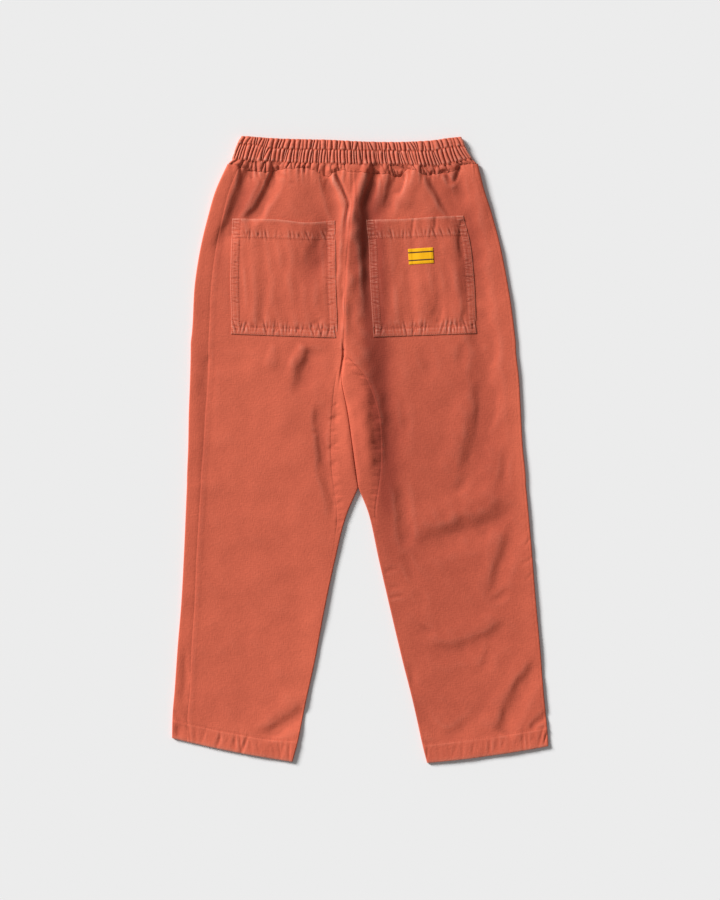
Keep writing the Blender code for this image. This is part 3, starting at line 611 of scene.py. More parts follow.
def seams(half, drop, away, x, y):
    """What seams and hems add to the height of the upper cloth."""
    length = row_length(half, drop)
    out = away - across(half, "roll_out", drop)
    inside = (length - away) - across(half, "roll_in", drop)
    strip = drop > DROP["crotch"]
    inner = half.inseam * inseam_shows(half, drop)
    z = groove(out, depth=half.outseam) + half.outseam_allowance * allowance(out)
    z = z + np.where(strip, groove(inside, depth=inner)
                     + 0.7 * inner * allowance(inside, wide=8), 0)
    z = z + puckers(drop, out, OUTSEAM_PUCKERS._replace(depth=half.outseam_pucker))
    on_thigh = step(*half.thigh_begin, drop) * (1 - step(*THIGH_END, drop))
    z = z + on_thigh * puckers(drop, inside + 5, THIGH_PUCKERS)

    middle = length - away
    z = z + np.where(strip, 0, groove(middle, depth=0.5) + 0.5 * (1 - step(4.5, 6.5, middle)))
    felled = groove(np.abs(x - FELLED_MIDDLE) - FELLED_HALF, depth=0.5, width=1.0)
    z = z + felled * (1 - step(*FELLED_END, drop))

    gathers = 1 - plain_piece(x)
    eased = (1 - gathered((x - WAIST_LEFT) / BAND_WIDTH, 3)) * gathers
    z = z - 2.4 * eased * np.exp(-drop / 9) + groove(drop, depth=0.4, width=1.6)
    z = z + puckers(x, drop, WAIST_PUCKERS) * gathers

    rim = np.minimum(np.minimum(away - across(half, "pocket_out", drop) * length,
                                across(half, "pocket_in", drop) * length - away),
                     DROP["pocket bottom"] - drop)
    pressed = groove(rim + 1.5, depth=0.3, width=1.6)      # the pocket sinks into the panel
    z = z + np.where(drop > DROP["pocket top"], pressed, 0)

    over_hem = to_hem_edge(half, drop, away, y)
    hem = hem_at(half, away / length)
    z = z + 0.6 * (1 - step(hem - 1.5, hem + 0.5, over_hem))
    z = z + groove(over_hem - hem, depth=0.45, width=1.4)
    z = z + puckers(x, over_hem - hem / 2, HEM_PUCKERS._replace(depth=half.hem_pucker))
    return z - 0.9 * np.exp(-over_hem / 1.0)


def upper(half, drop, away):
    """Places on the outside of the upper cloth, and its height without the edges' turn."""
    x, y = lay(half, drop, away)
    full = np.maximum(upper_height(x, y) + seams(half, drop, away, x, y),
                      LEAST_HEIGHT - SEAM_SINK)
    return x, y, full


def turned(half, drop, away, y):
    """1 on the flat of the cloth, down to 0 where it turns over an edge."""
    radius = edge_round(y)
    parted = step(DROP["crotch"] - 30, DROP["fork"], drop)
    inner = 1 - parted * (1 - quarter((row_length(half, drop) - away) / radius))
    return np.minimum(quarter(away / radius), inner)


def on_top(half, drop, away):
    """Outside of the cloth on the upper side."""
    x, y, full = upper(half, drop, away)
    return np.stack((x, y, full / 2 * (1 + turned(half, drop, away, y))), -1)


def beneath(half, drop, away):
    """Outside of the cloth on the underside."""
    x, y, full = upper(half, drop, away)
    flat = turned(half, drop, away, y)
    return np.stack((x, y, full / 2 * (1 - flat) + under_hollow(x, y) * flat), -1)


# %% [markdown]
# ## Where the colour is deeper and paler
# Broad patches are deeper, mostly on the right leg, and some raised places and the hems
# paler.  Each patch is a soft oval.  The patches are partly uneven dye and partly painted
# shade: those at the seat, the slit, the hips, the pockets' sides, the outseam and the
# hollows of thigh, knee and hem stand in for the broad shade of folds, where the form alone
# comes out too light.  They are a likeness, not the real dye.

# %% Patches of deeper and paler dye, with painted shade of folds, in millimetres
Patch = namedtuple("Patch", "name x y wide tall turn amount")
PATCHES = (
    Patch("left outseam", -252, 32, 8, 192, 0, -0.35),
    Patch("beside the slit", 27, 72, 14, 152, 4, -0.6),
    Patch("below the waist", -24, 442, 96, 19, 0, 0.3),
    Patch("pleat", 44, 400, 19, 22, -30, -0.35),
    Patch("left thigh hollow", -88, 125, 26, 42, 0, -0.25),
    Patch("waistband", 0, 480, 300, 24, 0, 0.25),
    Patch("waistband end", -196, 492, 20, 24, 0, 0.4),
    Patch("left pocket corner", -68, 312, 22, 62, -12, -0.75),
    Patch("right hip side", 189, 80, 22, 176, 4, -0.25),
    Patch("right leg", 139, -240, 128, 272, 0, -0.4),
    Patch("right thigh", 104, 32, 88, 144, 0, -0.25),
    Patch("beside the seat", 26, 205, 24, 236, 4, -0.95),
    Patch("right hip", 152, 396, 36, 80, 20, -0.4),
    Patch("left hem", -192, -464, 144, 32, 8, 0.3),
    Patch("right hem", 192, -467, 136, 29, -6, 0.15),
    Patch("left inner shin", -92, -352, 22, 128, -12, 0.4),
    Patch("left thigh", -176, 80, 72, 144, 0, 0.15),
    Patch("left hip edge", -238, 400, 20, 80, -20, 0.3),
    Patch("centre", -29, 80, 14, 96, 0, 0.5),
    Patch("seat piece", -24, 424, 22, 40, 0, 0.35),
    Patch("right edge", 257, 16, 14, 192, 3, 0.5),
    Patch("left pocket", -168, 320, 64, 54, 0, 0.25),
    Patch("inner knee", 48, -50, 19, 88, -8, -0.5),
    Patch("knee", 80, -150, 32, 40, 0, -0.25),
    Patch("left inner thigh", -64, 12, 14, 42, 0, -0.35),
    Patch("right pocket side", 172, 300, 22, 64, -6, -0.75),
    Patch("seat hollow", 14, 325, 27, 110, 3, -0.95),
    Patch("left hip hollow", -188, 390, 24, 44, -25, -0.7),
    Patch("left pocket side", -225, 304, 11, 40, 5, -0.35),
    Patch("inner hem", 80, -416, 32, 34, 10, -0.3),
    Patch("right shin side", 226, -80, 20, 140, 5, -0.2),
)


def dye_and_shade(x, y):
    """How much paler (above 0) or deeper (below 0) the colour is at places x, y: uneven dye, and
    painted shade of folds in many deeper patches.
    """
    total = np.zeros(np.shape(x))
    for patch in PATCHES:
        cos, sin = math.cos(math.radians(patch.turn)), math.sin(math.radians(patch.turn))
        u = ((x - patch.x) * cos + (y - patch.y) * sin) / patch.wide
        v = ((y - patch.y) * cos - (x - patch.x) * sin) / patch.tall
        total += patch.amount * np.exp(-u * u - v * v)
    return total


# %% [markdown]
# ## From a grid of places to a wall of cloth
# Cloth has two faces.  The outside is the grid, the inside is the same grid moved in by
# the thickness, and narrow rims close the open edges.  Edges of the rims are marked
# sharp, so that the smooth shading doesn't run round them.  Each point of the cloth also
# carries its place on the flat cut, how worn it is, where painted shade darkens it in a seam
# or a crevice, and how deep its dye is, which in part is painted shade of folds.

# %% A closed wall of cloth from grids of places
CLOTH = 1.2                # millimetres, wall of a panel


def grid_quads(index):
    """Four corners of each face of a grid of point numbers."""
    return np.stack((index[:-1, :-1], index[1:, :-1], index[1:, 1:], index[:-1, 1:]),
                    -1).reshape(-1, 4)


def add_piece(name, points, faces, cloth_uv=None, wear_and_shade=None, dyed_and_shaded=None):
    """A piece from points in millimetres, with what the canvas needs to know of them."""
    mesh = bpy.data.meshes.new(name)
    mesh.from_pydata((points * MM).tolist(), [], faces)
    mesh.shade_smooth()
    if cloth_uv is not None:
        corners = np.empty(len(mesh.loops), int)
        mesh.loops.foreach_get("vertex_index", corners)
        layer = mesh.uv_layers.new(name="cloth")
        layer.data.foreach_set("uv", (cloth_uv[corners] * MM).ravel())
        # The first mark is wear above 0 and painted shade in seams, crevices and troughs below 0;
        # the second is uneven dye and, in part, painted shade of folds.
        for mark, values in (("wear_and_shade", np.clip(wear_and_shade, -1, 1)), ("dye_and_shade", dyed_and_shaded)):
            layer = mesh.attributes.new(mark, "FLOAT", "POINT")
            layer.data.foreach_set("value", values.ravel().astype(np.float32))
    piece = bpy.data.objects.new(name, mesh)
    bpy.context.scene.collection.objects.link(piece)
    print(name, len(faces), "faces")
    return piece


def make_cloth(name, points, quads, wall, cloth_uv, wear_and_shade):
    """A closed wall of cloth: points are the outside in millimetres, wall its thickness."""
    count = len(points)
    a, b, c, d = points[quads].transpose(1, 0, 2)
    normals = np.zeros_like(points)
    for corner in range(4):
        np.add.at(normals, quads[:, corner], np.cross(c - a, d - b))
    normals /= np.maximum(np.linalg.norm(normals, axis=1), 1e-9)[:, None]
    inside = points - normals * np.broadcast_to(wall, count)[:, None]

    edges = np.concatenate([quads[:, [k, (k + 1) % 4]] for k in range(4)])
    key, twin = edges[:, 0] * count + edges[:, 1], edges[:, 1] * count + edges[:, 0]
    border = edges[~np.isin(key, twin)]
    rim = np.column_stack((border[:, 1], border[:, 0], border[:, 0] + count,
                           border[:, 1] + count))
    faces = np.concatenate((quads, quads[:, ::-1] + count, rim))
    piece = add_piece(name, np.concatenate((points, inside)), faces.tolist(),
                      np.tile(cloth_uv, (2, 1)), np.tile(wear_and_shade, 2),
                      np.tile(dye_and_shade(points[:, 0], points[:, 1]), 2))

    mesh = piece.data
    ends = np.empty(len(mesh.edges) * 2, int)
    mesh.edges.foreach_get("vertices", ends)
    ends = ends.reshape(-1, 2)
    on_border = np.zeros(count * 2, bool)
    on_border[border.ravel()] = on_border[border.ravel() + count] = True
    sharp = on_border[ends].all(axis=1) & ((ends[:, 0] < count) == (ends[:, 1] < count))
    mesh.attributes.new("sharp_edge", "BOOLEAN", "EDGE").data.foreach_set("value", sharp)
    return piece


# %% [markdown]
# ## Back panels
# The back of each half is cut in one piece from the waist seam to the hem.  Its grid is
# fine enough for the folds, and finer still beside the seams, where the groove is.

# %% Back panels
TOP_PITCH = 2.7            # millimetres between grid lines down the garment
TOP_LINES = 78             # grid lines across a panel, without those beside its seams
HEM_CLOTH = 1.0            # what the turned-up cloth adds to the wall
HEM_WEAR = 0.8             # how much the hem's edge is rubbed, where 1 is all the colour
# Troughs of folds get painted shade, as much for each millimetre that they sink.
FOLD_WEAR_AND_SHADE = 0.35           # and the crests of folds, for each millimetre that they stand up
SEAM_STEPS = np.array((0, 0.6, 1.3, 2.2, 3.4))


def between(start, end, shares):
    """Distances from start to end, with closer steps beside both."""
    start, end = start[:, None], end[:, None]
    low, high = start + SEAM_STEPS[-1] + 1, end - SEAM_STEPS[-1] - 1
    return np.concatenate((start + SEAM_STEPS, low + (high - low) * shares[None, :],
                           end - SEAM_STEPS[::-1]), axis=1)


# Grid lines across: close at the waist seam, then even, closer on the hem and at its edge.
drops = np.concatenate((np.array((0, 1.2, 2.5, 4.2)), np.arange(6.5, 886, TOP_PITCH),
                        np.arange(886, 917, 1.6), np.array((917.5, 919, 920.2, 921))))


def fading_from_edge(distance, width=2.0):
    """A mark that fades away from an edge or a seam: rubbed wear at a hem, painted shade along a
    seam.
    """
    return np.exp(-np.maximum(distance, 0) / width)


def panel_wall(half, over_hem):
    """Thickness of a panel at distances from the hem edge: its hem is folded up."""
    return CLOTH + HEM_CLOTH * (1 - step(half.hem_depth - 2, half.hem_depth, over_hem))


def make_back(half):
    """Back panel of one half."""
    length = row_length(half, drops)
    strip = np.where(drops >= DROP["crotch"], across(half, "roll_in", drops) + SEAM_GAP / 2,
                     SEAM_GAP / 2)
    start, end = across(half, "roll_out", drops) + SEAM_GAP / 2, length - strip
    away = between(start, end, np.linspace(0, 1, TOP_LINES))
    drop = np.broadcast_to(drops[:, None], away.shape)
    places = on_top(half, drop, away)
    over_hem = to_hem_edge(half, drop, away, places[..., 1])
    # The hem edge and the crests of folds are rubbed paler; painted shade darkens the cloth along
    # the outseam, the inseam and in the troughs of folds.
    inseam_wear = half.inseam_wear * inseam_shows(half, drops)[:, None]
    wear_and_shade = HEM_WEAR * fading_from_edge(over_hem) \
        - half.outseam_wear * fading_from_edge(away - start[:, None], 1.5) \
        - inseam_wear * fading_from_edge(end[:, None] - away, 1.5) \
        + FOLD_WEAR_AND_SHADE * standing(places[..., 2], 2)
    quads = grid_quads(np.arange(away.size).reshape(away.shape))
    if half.side == "right":
        quads = quads[:, ::-1]
    uv = np.stack((away, -drop), -1).reshape(-1, 2)
    return make_cloth("back_panel_" + half.side, places.reshape(-1, 3), quads,
                      panel_wall(half, over_hem).ravel(), uv, wear_and_shade.ravel())


backs = {half.side: make_back(half) for half in (LEFT, RIGHT)}

# %% [markdown]
# ## Front panels
# The front is underneath.  It turns over the outer edge up to the outseam, and over the
# inner edge of the leg up to the inseam, so both rolled strips belong to it.  Above the
# fork the inner strip and the underside are two separate edges of one slit.

# %% Front panels
TURN_SHARES = np.array((1, 0.72, 0.5, 0.3, 0.14, 0.04))     # of the round of an edge
UNDER_LINES = 38           # grid lines across the flat underside
INNER_LINES = 11           # grid lines across the inner strip


def make_front(half):
    """Front panel of one half: the underside with its two rolled strips."""
    length = row_length(half, drops)
    y = lay(half, drops, length * 0)[1]
    radius = edge_round(y)
    seam = across(half, "roll_out", drops) - SEAM_GAP / 2
    shares = np.linspace(0, 1, half.strip_lines + 2)[1:-1]
    seam_side = seam[:, None] - np.array((0, 0.6, 1.3))
    flat = seam_side[:, -1:] + (radius[:, None] - seam_side[:, -1:]) * shares
    outer = np.concatenate((seam_side, flat, radius[:, None] * TURN_SHARES,
                            radius[:, None] * 0), axis=1)
    low, high = radius[:, None], (length - radius)[:, None]
    bottom = np.concatenate((radius[:, None] * TURN_SHARES[::-1], low + (high - low)
                             * np.linspace(0, 1, UNDER_LINES + 2)[None, 1:-1], length[:, None]
                             - radius[:, None] * TURN_SHARES, length[:, None]), axis=1)
    drop_a = np.broadcast_to(drops[:, None], outer.shape)
    drop_b = np.broadcast_to(drops[:, None], bottom.shape)
    sheet = np.concatenate((on_top(half, drop_a, outer), beneath(half, drop_b, bottom)), axis=1)
    around = np.concatenate((-outer, bottom), axis=1)

    has_strip = drops >= DROP["crotch"]
    rows = np.flatnonzero(has_strip)
    reach = np.maximum(across(half, "roll_in", drops[rows]) - SEAM_GAP / 2, 0.6)
    turn = np.minimum(radius[rows], reach * 0.8)[:, None]
    shares = np.linspace(0, 1, INNER_LINES + 2)[None, 1:-1]
    inner = np.concatenate((turn * 0, turn * TURN_SHARES[::-1],
                            turn + (reach[:, None] - turn) * shares, reach[:, None]), axis=1)
    drop_c = np.broadcast_to(drops[rows][:, None], inner.shape)
    strip = on_top(half, drop_c, length[rows][:, None] - inner)

    index = np.arange(sheet.shape[0] * sheet.shape[1]).reshape(sheet.shape[:2])
    strip_index = index.size + np.arange(inner.size).reshape(inner.shape)
    joined = drops[rows] >= DROP["fork"]
    strip_index[joined, 0] = index[rows[joined], -1]
    quads = np.concatenate((grid_quads(index), grid_quads(strip_index)))
    if half.side == "left":
        quads = quads[:, ::-1]
    points = np.concatenate((sheet.reshape(-1, 3), strip.reshape(-1, 3)))
    along = np.concatenate((np.broadcast_to(-drops[:, None], around.shape).ravel(),
                            -drop_c.ravel()))
    uv = np.column_stack((np.concatenate((around.ravel(), (length[rows][:, None]
                                                           + inner).ravel())), along))
    over_hem = DROP["hem edge"] + along
    thick, wear_and_shade = panel_wall(half, over_hem), HEM_WEAR * fading_from_edge(over_hem)
    used = np.unique(quads)
    number = np.full(len(points), -1)
    number[used] = np.arange(len(used))
    return make_cloth("front_panel_" + half.side, points[used], number[quads],
                      thick[used], uv[used], wear_and_shade[used])


fronts = {half.side: make_front(half) for half in (LEFT, RIGHT)}

# %% [markdown]
# ## Patch pockets
# A patch pocket is a flat piece whose sides and bottom are turned in and sewn down with
# two rows of stitches, so its border is thicker and pulled in along the rows.  The top is
# a wide hem that stands a little open, because nothing holds it down.

# %% Patch pockets
POCKET_GAP = 0.25          # between the panel and the pocket
BORDER = 12.5              # from the edge to the inner row of stitches
POCKET_HEM = 31.0          # depth of the hem at the opening
EDGE_ROW = 2.0             # from the edge to the outer row of stitches
POCKET_CLOTH = 0.8         # wall of the pocket, thinner so that its edges cast little shadow
POCKET_TALL = DROP["pocket bottom"] - DROP["pocket top"]
TURNED_IN = 0.5            # rise of the cloth that is doubled along the border and the hem
OPENING_PUCKERS = Puckers(scatter(-400, 900, 5.2, 41, 0.5), depth=1.4, width=1.4, reach=7,
                          lean=0.1, seed=51)
BOTTOM_PUCKERS = Puckers(scatter(-400, 900, 4.4, 44, 0.5), depth=2.4, width=1.2, reach=8,
                         lean=0.0, seed=52)
SIDE_PUCKERS = Puckers(scatter(0, 500, 3.8, 43, 0.5), depth=0.9, width=0.9, reach=6,
                       lean=0.0, seed=53)


def opening_sag(half, share):
    """How far the pocket's opening hangs below the straight line between its corners."""
    return half.sag * dip(share - half.sag_at, half.sag_width)


def pocket_place(half, down, share):
    """Drop and distance from the outer edge at shares of a pocket's height and width."""
    top = DROP["pocket top"]
    drop = top + POCKET_TALL * down
    drop = drop + opening_sag(half, share) * np.exp(-(drop - top) / 25)
    low, high = across(half, "pocket_out", drop), across(half, "pocket_in", drop)
    return drop, (low + (high - low) * share) * row_length(half, drop)


def make_pocket(half):
    """Patch pocket of one half."""
    down = np.linspace(0, 1, 108)
    down = np.concatenate((down[:1], [0.003, 0.007], down[2:-2], [0.990, 0.994, 0.997], down[-1:]))
    share = np.concatenate(([0, 0.003, 0.008, 0.014], np.linspace(0.022, 0.978, 100),
                            [0.986, 0.992, 0.997, 1]))
    drop, away = pocket_place(half, down[:, None], share[None, :])
    x, y, full = upper(half, drop, away)
    width = away[:, -1:] - away[:, :1]
    side = np.minimum(share, 1 - share)[None, :] * width
    below = (1 - down)[:, None] * POCKET_TALL + 0 * side
    edge = np.minimum(side, below)
    over = down[:, None] * POCKET_TALL + 0 * side

    fold = TURNED_IN * (1 - step(BORDER - 0.5, BORDER + 1.5, edge))
    hem = TURNED_IN * (1 - step(POCKET_HEM - 1, POCKET_HEM + 1, over))
    lift = POCKET_GAP + POCKET_CLOTH + np.maximum(fold, hem)
    lift = lift + groove(edge - EDGE_ROW, depth=0.35, width=0.9)
    lift = lift + groove(edge - BORDER, depth=0.4, width=1.1)
    lift = lift + groove(over - POCKET_HEM + 1, depth=0.4, width=1.1)
    lift = lift + puckers(x, over - POCKET_HEM + 6, OPENING_PUCKERS)
    lift = lift + puckers(x, below - BORDER + 1, BOTTOM_PUCKERS)
    lift = lift + puckers(drop, side - BORDER + 5, SIDE_PUCKERS)
    lift = lift + 1.3 * np.sin(math.pi * share)[None, :] * np.exp(-over / 12)
    ripple = rumple(1.7 * x, 0.5 * y, shift=3.0)
    lift = lift + 2.0 * ripple * step(BORDER, BORDER + 12, edge)
    lift = lift + 0.5 * step(BORDER, BORDER + 25, edge)
    lift = lift - 0.6 * np.exp(-np.minimum(edge, over) / 1.0)
    places = np.stack((x, y, full + lift), -1)
    # Edges, the opening and raised places are rubbed paler; painted shade darkens the grooves of
    # the stitch rows and the puckers, where the cloth sinks.
    wear_and_shade = 0.5 * fading_from_edge(edge, 1.5) + 0.6 * fading_from_edge(over, 2.0) + 1.4 * standing(lift, 2)
    quads = grid_quads(np.arange(away.size).reshape(away.shape))
    if half.side == "right":
        quads = quads[:, ::-1]
    uv = np.stack((away, -drop), -1).reshape(-1, 2)
    wall = POCKET_CLOTH + np.maximum(fold, hem) * 0.8 - 0.4 * np.exp(-edge / 1.0)
    return make_cloth("pocket_patch_" + half.side, places.reshape(-1, 3), quads, wall.ravel(),
                      uv, wear_and_shade.ravel())


pockets = {half.side: make_pocket(half) for half in (LEFT, RIGHT)}

# %% [markdown]
# ## Waistband
# A straight band is folded over wide elastic and sewn through twice while the elastic is
# stretched.  When it lets go, the cloth stands in narrow puffs between the rows of
# stitches.  The band is one ring: the back on top, the front underneath, round at both
# ends, and its valleys run on from channel to channel but never quite in line.

# %% Waistband
BAND_HEIGHT = 10.6         # millimetres from the table to the crests
BAND_WALL = 3.4            # cloth, elastic and cloth
PUFF = 4.6                 # depth of an average valley
BAND_ENDS = ((0, -192, 164), (0.5, -195, 167), (1, -197, 169), (1.5, -202, 174),
             (2, -206, 180), (3, -212, 187))
FRILL_SWELL = 0.68         # share of that depth in the frill under the channels
ROW_DIP = 0.8              # depth that a row of stitches adds
TOP_DIP = 0.9              # and the same for the turned top edge
CHANNEL = 18               # millimetres between two rows of stitches, about
TOP_CHANNEL = 14           # and from the top edge to the first row
CUT_SHARE = 1.6            # flat cloth to gathered cloth, for the scale of the weave
BACK_POINTS, TURN_POINTS, FRONT_POINTS = 760, 12, 300       # of the ring's grid
RADIUS = BAND_HEIGHT / 2
TURN = math.pi * RADIUS / BAND_WIDTH
ROUND = 2 + 2 * TURN       # the whole ring, in widths of the band


def ring_place(g, level):
    """Place and outward direction on the ring at g widths from the left end."""
    levels, lefts, rights = zip(*BAND_ENDS)
    low = np.interp(level, levels, lefts) + RADIUS
    high = np.interp(level, levels, rights) - RADIUS
    phase = g + 0 * level
    on_top_side = phase < 1
    share = np.where(on_top_side, phase, np.clip(2 + TURN - phase, 0, 1))
    right_turn = (phase >= 1) & (phase < 1 + TURN)
    left_turn = phase >= 2 + TURN
    angle = np.where(on_top_side, 90.0, -90.0)
    angle = np.where(right_turn, 90 - 180 * (phase - 1) / TURN, angle)
    angle = np.where(left_turn, -90 - 180 * (phase - 2 - TURN) / TURN, angle)
    share = np.where(right_turn, 1, np.where(left_turn, 0, share))
    return low + (high - low) * share, np.cos(np.radians(angle)), np.sin(np.radians(angle))


def band_y(x, level):
    """Height on the garment of the band at places x and levels 0 top to 3 seam."""
    lines = [band_line("top", x), band_line("upper_stitch", x), band_line("lower_stitch", x),
             waist_seam(x) + SEAM_GAP]
    k = np.clip(level.astype(int), 0, 2)
    part = level - k
    return np.choose(k, lines[:3]) * (1 - part) + np.choose(k, lines[1:]) * part


def seam_height(x):
    """Height of the panels at the waist seam, so that the band meets them."""
    heights = []
    for half in (LEFT, RIGHT):
        first = half.rows[0]
        share = np.clip((x - first.outer_x) / (first.inner_x - first.outer_x), 0, 1)
        drop = 0 * x
        away = share * row_length(half, drop)
        rounded = quarter(away / edge_round(float(first.outer_y)))
        heights.append(upper(half, drop, away)[2] / 2 * (1 + rounded))
    return np.where(x < LEFT.rows[0].inner_x, *heights)


def make_waistband():
    """The gathered ring with its rolled top edge and its plain inside."""
    back = np.linspace(0, 1, BACK_POINTS, endpoint=False)
    turn = np.linspace(0, TURN, TURN_POINTS, endpoint=False)
    front = np.linspace(0, 1, FRONT_POINTS, endpoint=False)
    g = np.concatenate((back, 1 + turn, 1 + TURN + front, 2 + TURN + turn))[None, :]
    outside = np.concatenate((np.linspace(3, 2, 11), np.linspace(2, 1, 16)[1:],
                              np.linspace(1, 0, 11)[1:]))
    roll = np.linspace(0, math.pi, 7)[1:]
    inside = np.linspace(0, 3, 5)[1:]
    level = np.concatenate((outside, 0 * roll, inside))[:, None] + 0 * g
    inset = np.concatenate((0 * outside, BAND_WALL / 2 * (1 - np.cos(roll)),
                            0 * inside + BAND_WALL))[:, None]
    up = np.concatenate((0 * outside, BAND_WALL / 2 * np.sin(roll), 0 * inside))[:, None]
    outer = np.concatenate((outside * 0 + 1, 0.5 + 0.5 * np.cos(roll), inside * 0))[:, None]

    x, nx, nz = ring_place(g, level)
    end = RADIUS / BAND_WIDTH
    at = np.interp(g, (0, 1, 1 + TURN, 2 + TURN, ROUND), (end, 1 - end, 1 + end, 2 - end, 2 + end))
    puffs = np.stack([gathered(at[0] % 2, row) for row in level[:, 0]])
    part = level - np.floor(np.minimum(level, 2.999))
    swell = np.sin(math.pi * part) ** 0.5
    swell = np.where(level > 2, FRILL_SWELL, 0.6 + 0.4 * swell)
    swell = np.where(level <= 0, 0.55, swell)
    frill = step(1.98, 2.12, level)
    depth = PUFF * (1 - np.minimum(puffs, 1.2)) * swell * (1 - frill * plain_piece(x)) \
        + 1.0 * frill
    for stitched in (1, 2):
        depth = depth + ROW_DIP * dip((level - stitched) * CHANNEL, 1.5)
    from_top = level * TOP_CHANNEL
    depth = depth + TOP_DIP * dip(from_top, 3.0)
    y = band_y(x, level) + up + 1.2 * (puffs - 0.8) * dip(from_top, 4) * outer
    away = RADIUS - inset - np.maximum(depth, -0.6) * outer
    lift = folded(x, y)
    z = np.maximum(RADIUS + nz * away + 0.8 * lift * (nz > 0.5) * outer, 0)
    joined = step(2.5, 3, level) * (nz > 0.5) * step(-207, -200, x) * (1 - step(176, 183, x))
    z = z + (np.maximum(seam_height(x) - inset, 1) - z) * joined
    places = np.stack((x + nx * away, y, z), -1)

    index = np.arange(level.size).reshape(level.shape)
    index = np.concatenate((index, index[:1]))
    index = np.concatenate((index, index[:, :1]), axis=1)
    quads = grid_quads(index)[:, ::-1]
    cloth_uv = np.stack((g * BAND_WIDTH * CUT_SHARE + 0 * level, -level * 17), -1)
    # The crests of the puffs and the top edge are rubbed paler; painted shade darkens the valleys
    # between the puffs.
    wear_and_shade = (-standing(depth, 3) + 0.3 * dip(from_top, 2.0)) * outer
    return add_piece("waistband_ring", places.reshape(-1, 3), quads.tolist(),
                     cloth_uv.reshape(-1, 2), wear_and_shade, dye_and_shade(places[..., 0], places[..., 1]))


waistband = make_waistband()

# %% [markdown]
# ## Woven label
# A small flat label of satin weave, with its ends folded under, sewn on by its rim.  It
# lies on the pocket, so each of its points is dropped onto the pocket from above.

# %% Woven label
LABEL_CENTRE = (97, 310)
LABEL_SIZE = (40, 25)
LABEL_TILT = math.radians(3.5)
LABEL_CLOTH = 0.7
LABEL_GAP = 0.15           # between the pocket and the label
LABEL_FOLD = 0.25          # rise over the ends that are folded under


def tree_of(*pieces):
    """Search trees of pieces, to drop points onto them from above."""
    trees = []
    for piece in pieces:
        places = [v.co for v in piece.data.vertices]
        trees.append(BVHTree.FromPolygons(places, [p.vertices[:] for p in piece.data.polygons]))
    return trees


def top_of(trees, x, y):
    """Height in millimetres of the highest cloth at a place."""
    hits = [tree.ray_cast(Vector((x * MM, y * MM, 0.1)), Vector((0, 0, -1)))[0] for tree in trees]
    return max((hit.z / MM for hit in hits if hit), default=0.0)


def label_place(u, v):
    """Plan place on the label at distances right and up from its middle."""
    cos, sin = math.cos(LABEL_TILT), math.sin(LABEL_TILT)
    return LABEL_CENTRE[0] + u * cos - v * sin, LABEL_CENTRE[1] + u * sin + v * cos


def make_label(trees):
    """The label, following the pocket under it."""
    us = np.concatenate(([-20, -19.7, -19.2], np.linspace(-18.5, 18.5, 44), [19.2, 19.7, 20]))
    vs = np.concatenate(([12.5, 12.2, 11.7], np.linspace(11, -11, 26), [-11.7, -12.2, -12.5]))
    half_wide, half_tall = LABEL_SIZE[0] / 2, LABEL_SIZE[1] / 2
    places, marks = [], []
    for v in vs:
        for u in us:
            x, y = label_place(u, v)
            rim = min(half_wide - abs(u), half_tall - abs(v))
            fold = LABEL_FOLD * (1 - step(5, 6, half_wide - abs(u)))
            z = top_of(trees, x, y) + LABEL_GAP + LABEL_CLOTH + fold - 0.5 * math.exp(-rim / 0.5)
            places.append((x, y, z - 0.15 * math.exp(-((rim - 1.6) / 0.6) ** 2)))
            marks.append((u, v))
    index = np.arange(len(places)).reshape(len(vs), len(us))
    return make_cloth("woven_label", np.array(places), grid_quads(index), LABEL_CLOTH,
                      np.array(marks), np.zeros(len(places)))


pocket_trees = tree_of(pockets["right"])
label = make_label(pocket_trees)

# %% [markdown]
# ## Stitches
# Each stitch is a short piece of thread that dives into the cloth at both ends.  It is
# one small flattened capsule, and all stitches of a seam are one mesh.

# %% Rows of stitches along a line
STITCH_PITCH = 3.3         # millimetres; the real ones are 2.5, too fine to show
STITCH = 2.5
THREAD = 0.62
SIDES = 6                  # of a stitch's cross-section
Ring = namedtuple("Ring", "along size lift")
CAPSULE = (Ring(-1, 0.3, -0.28), Ring(-0.6, 0.9, 0.12), Ring(0.6, 0.9, 0.12), Ring(1, 0.3, -0.28))


def sew(name, lines, trees, pitch=STITCH_PITCH, stitch=STITCH, thread=THREAD):
    """Rows of stitches along plan lines, dropped onto the cloth under them."""
    points, faces = [], []
    for line in lines:
        line = np.asarray(line, float)
        run = np.concatenate(([0], np.cumsum(np.hypot(*np.diff(line, axis=0).T))))
        for middle in np.arange(pitch / 2, run[-1], pitch):
            ends = [np.array([np.interp(middle + s * stitch / 2, run, line[:, k])
                              for k in (0, 1)]) for s in (-1, 1)]
            heights = [top_of(trees, *place) for place in ends]
            along = (ends[1] - ends[0]) / max(math.hypot(*(ends[1] - ends[0])), 1e-6)
            beside = np.array((-along[1], along[0]))
            first = len(points)
            for ring in CAPSULE:
                t = (ring.along + 1) / 2
                place = ends[0] * (1 - t) + ends[1] * t
                z = heights[0] * (1 - t) + heights[1] * t + ring.lift
                for k in range(SIDES):
                    turn = k * math.pi / 3
                    side = beside * math.cos(turn) * thread / 2 * ring.size
                    points.append((*(place + side), z + math.sin(turn) * thread / 3 * ring.size))
            for k in range(SIDES):
                following = (k + 1) % SIDES
                for ring in range(len(CAPSULE) - 1):
                    a, b = first + ring * SIDES + k, first + ring * SIDES + following
                    faces.append((a, a + SIDES, b + SIDES, b))
            last = first + (len(CAPSULE) - 1) * SIDES
            faces.append(tuple(first + k for k in range(SIDES)))
            faces.append(tuple(last + k for k in reversed(range(SIDES))))
    print(name, len(points) // (SIDES * len(CAPSULE)), "stitches")
    return add_piece(name, np.array(points), faces)


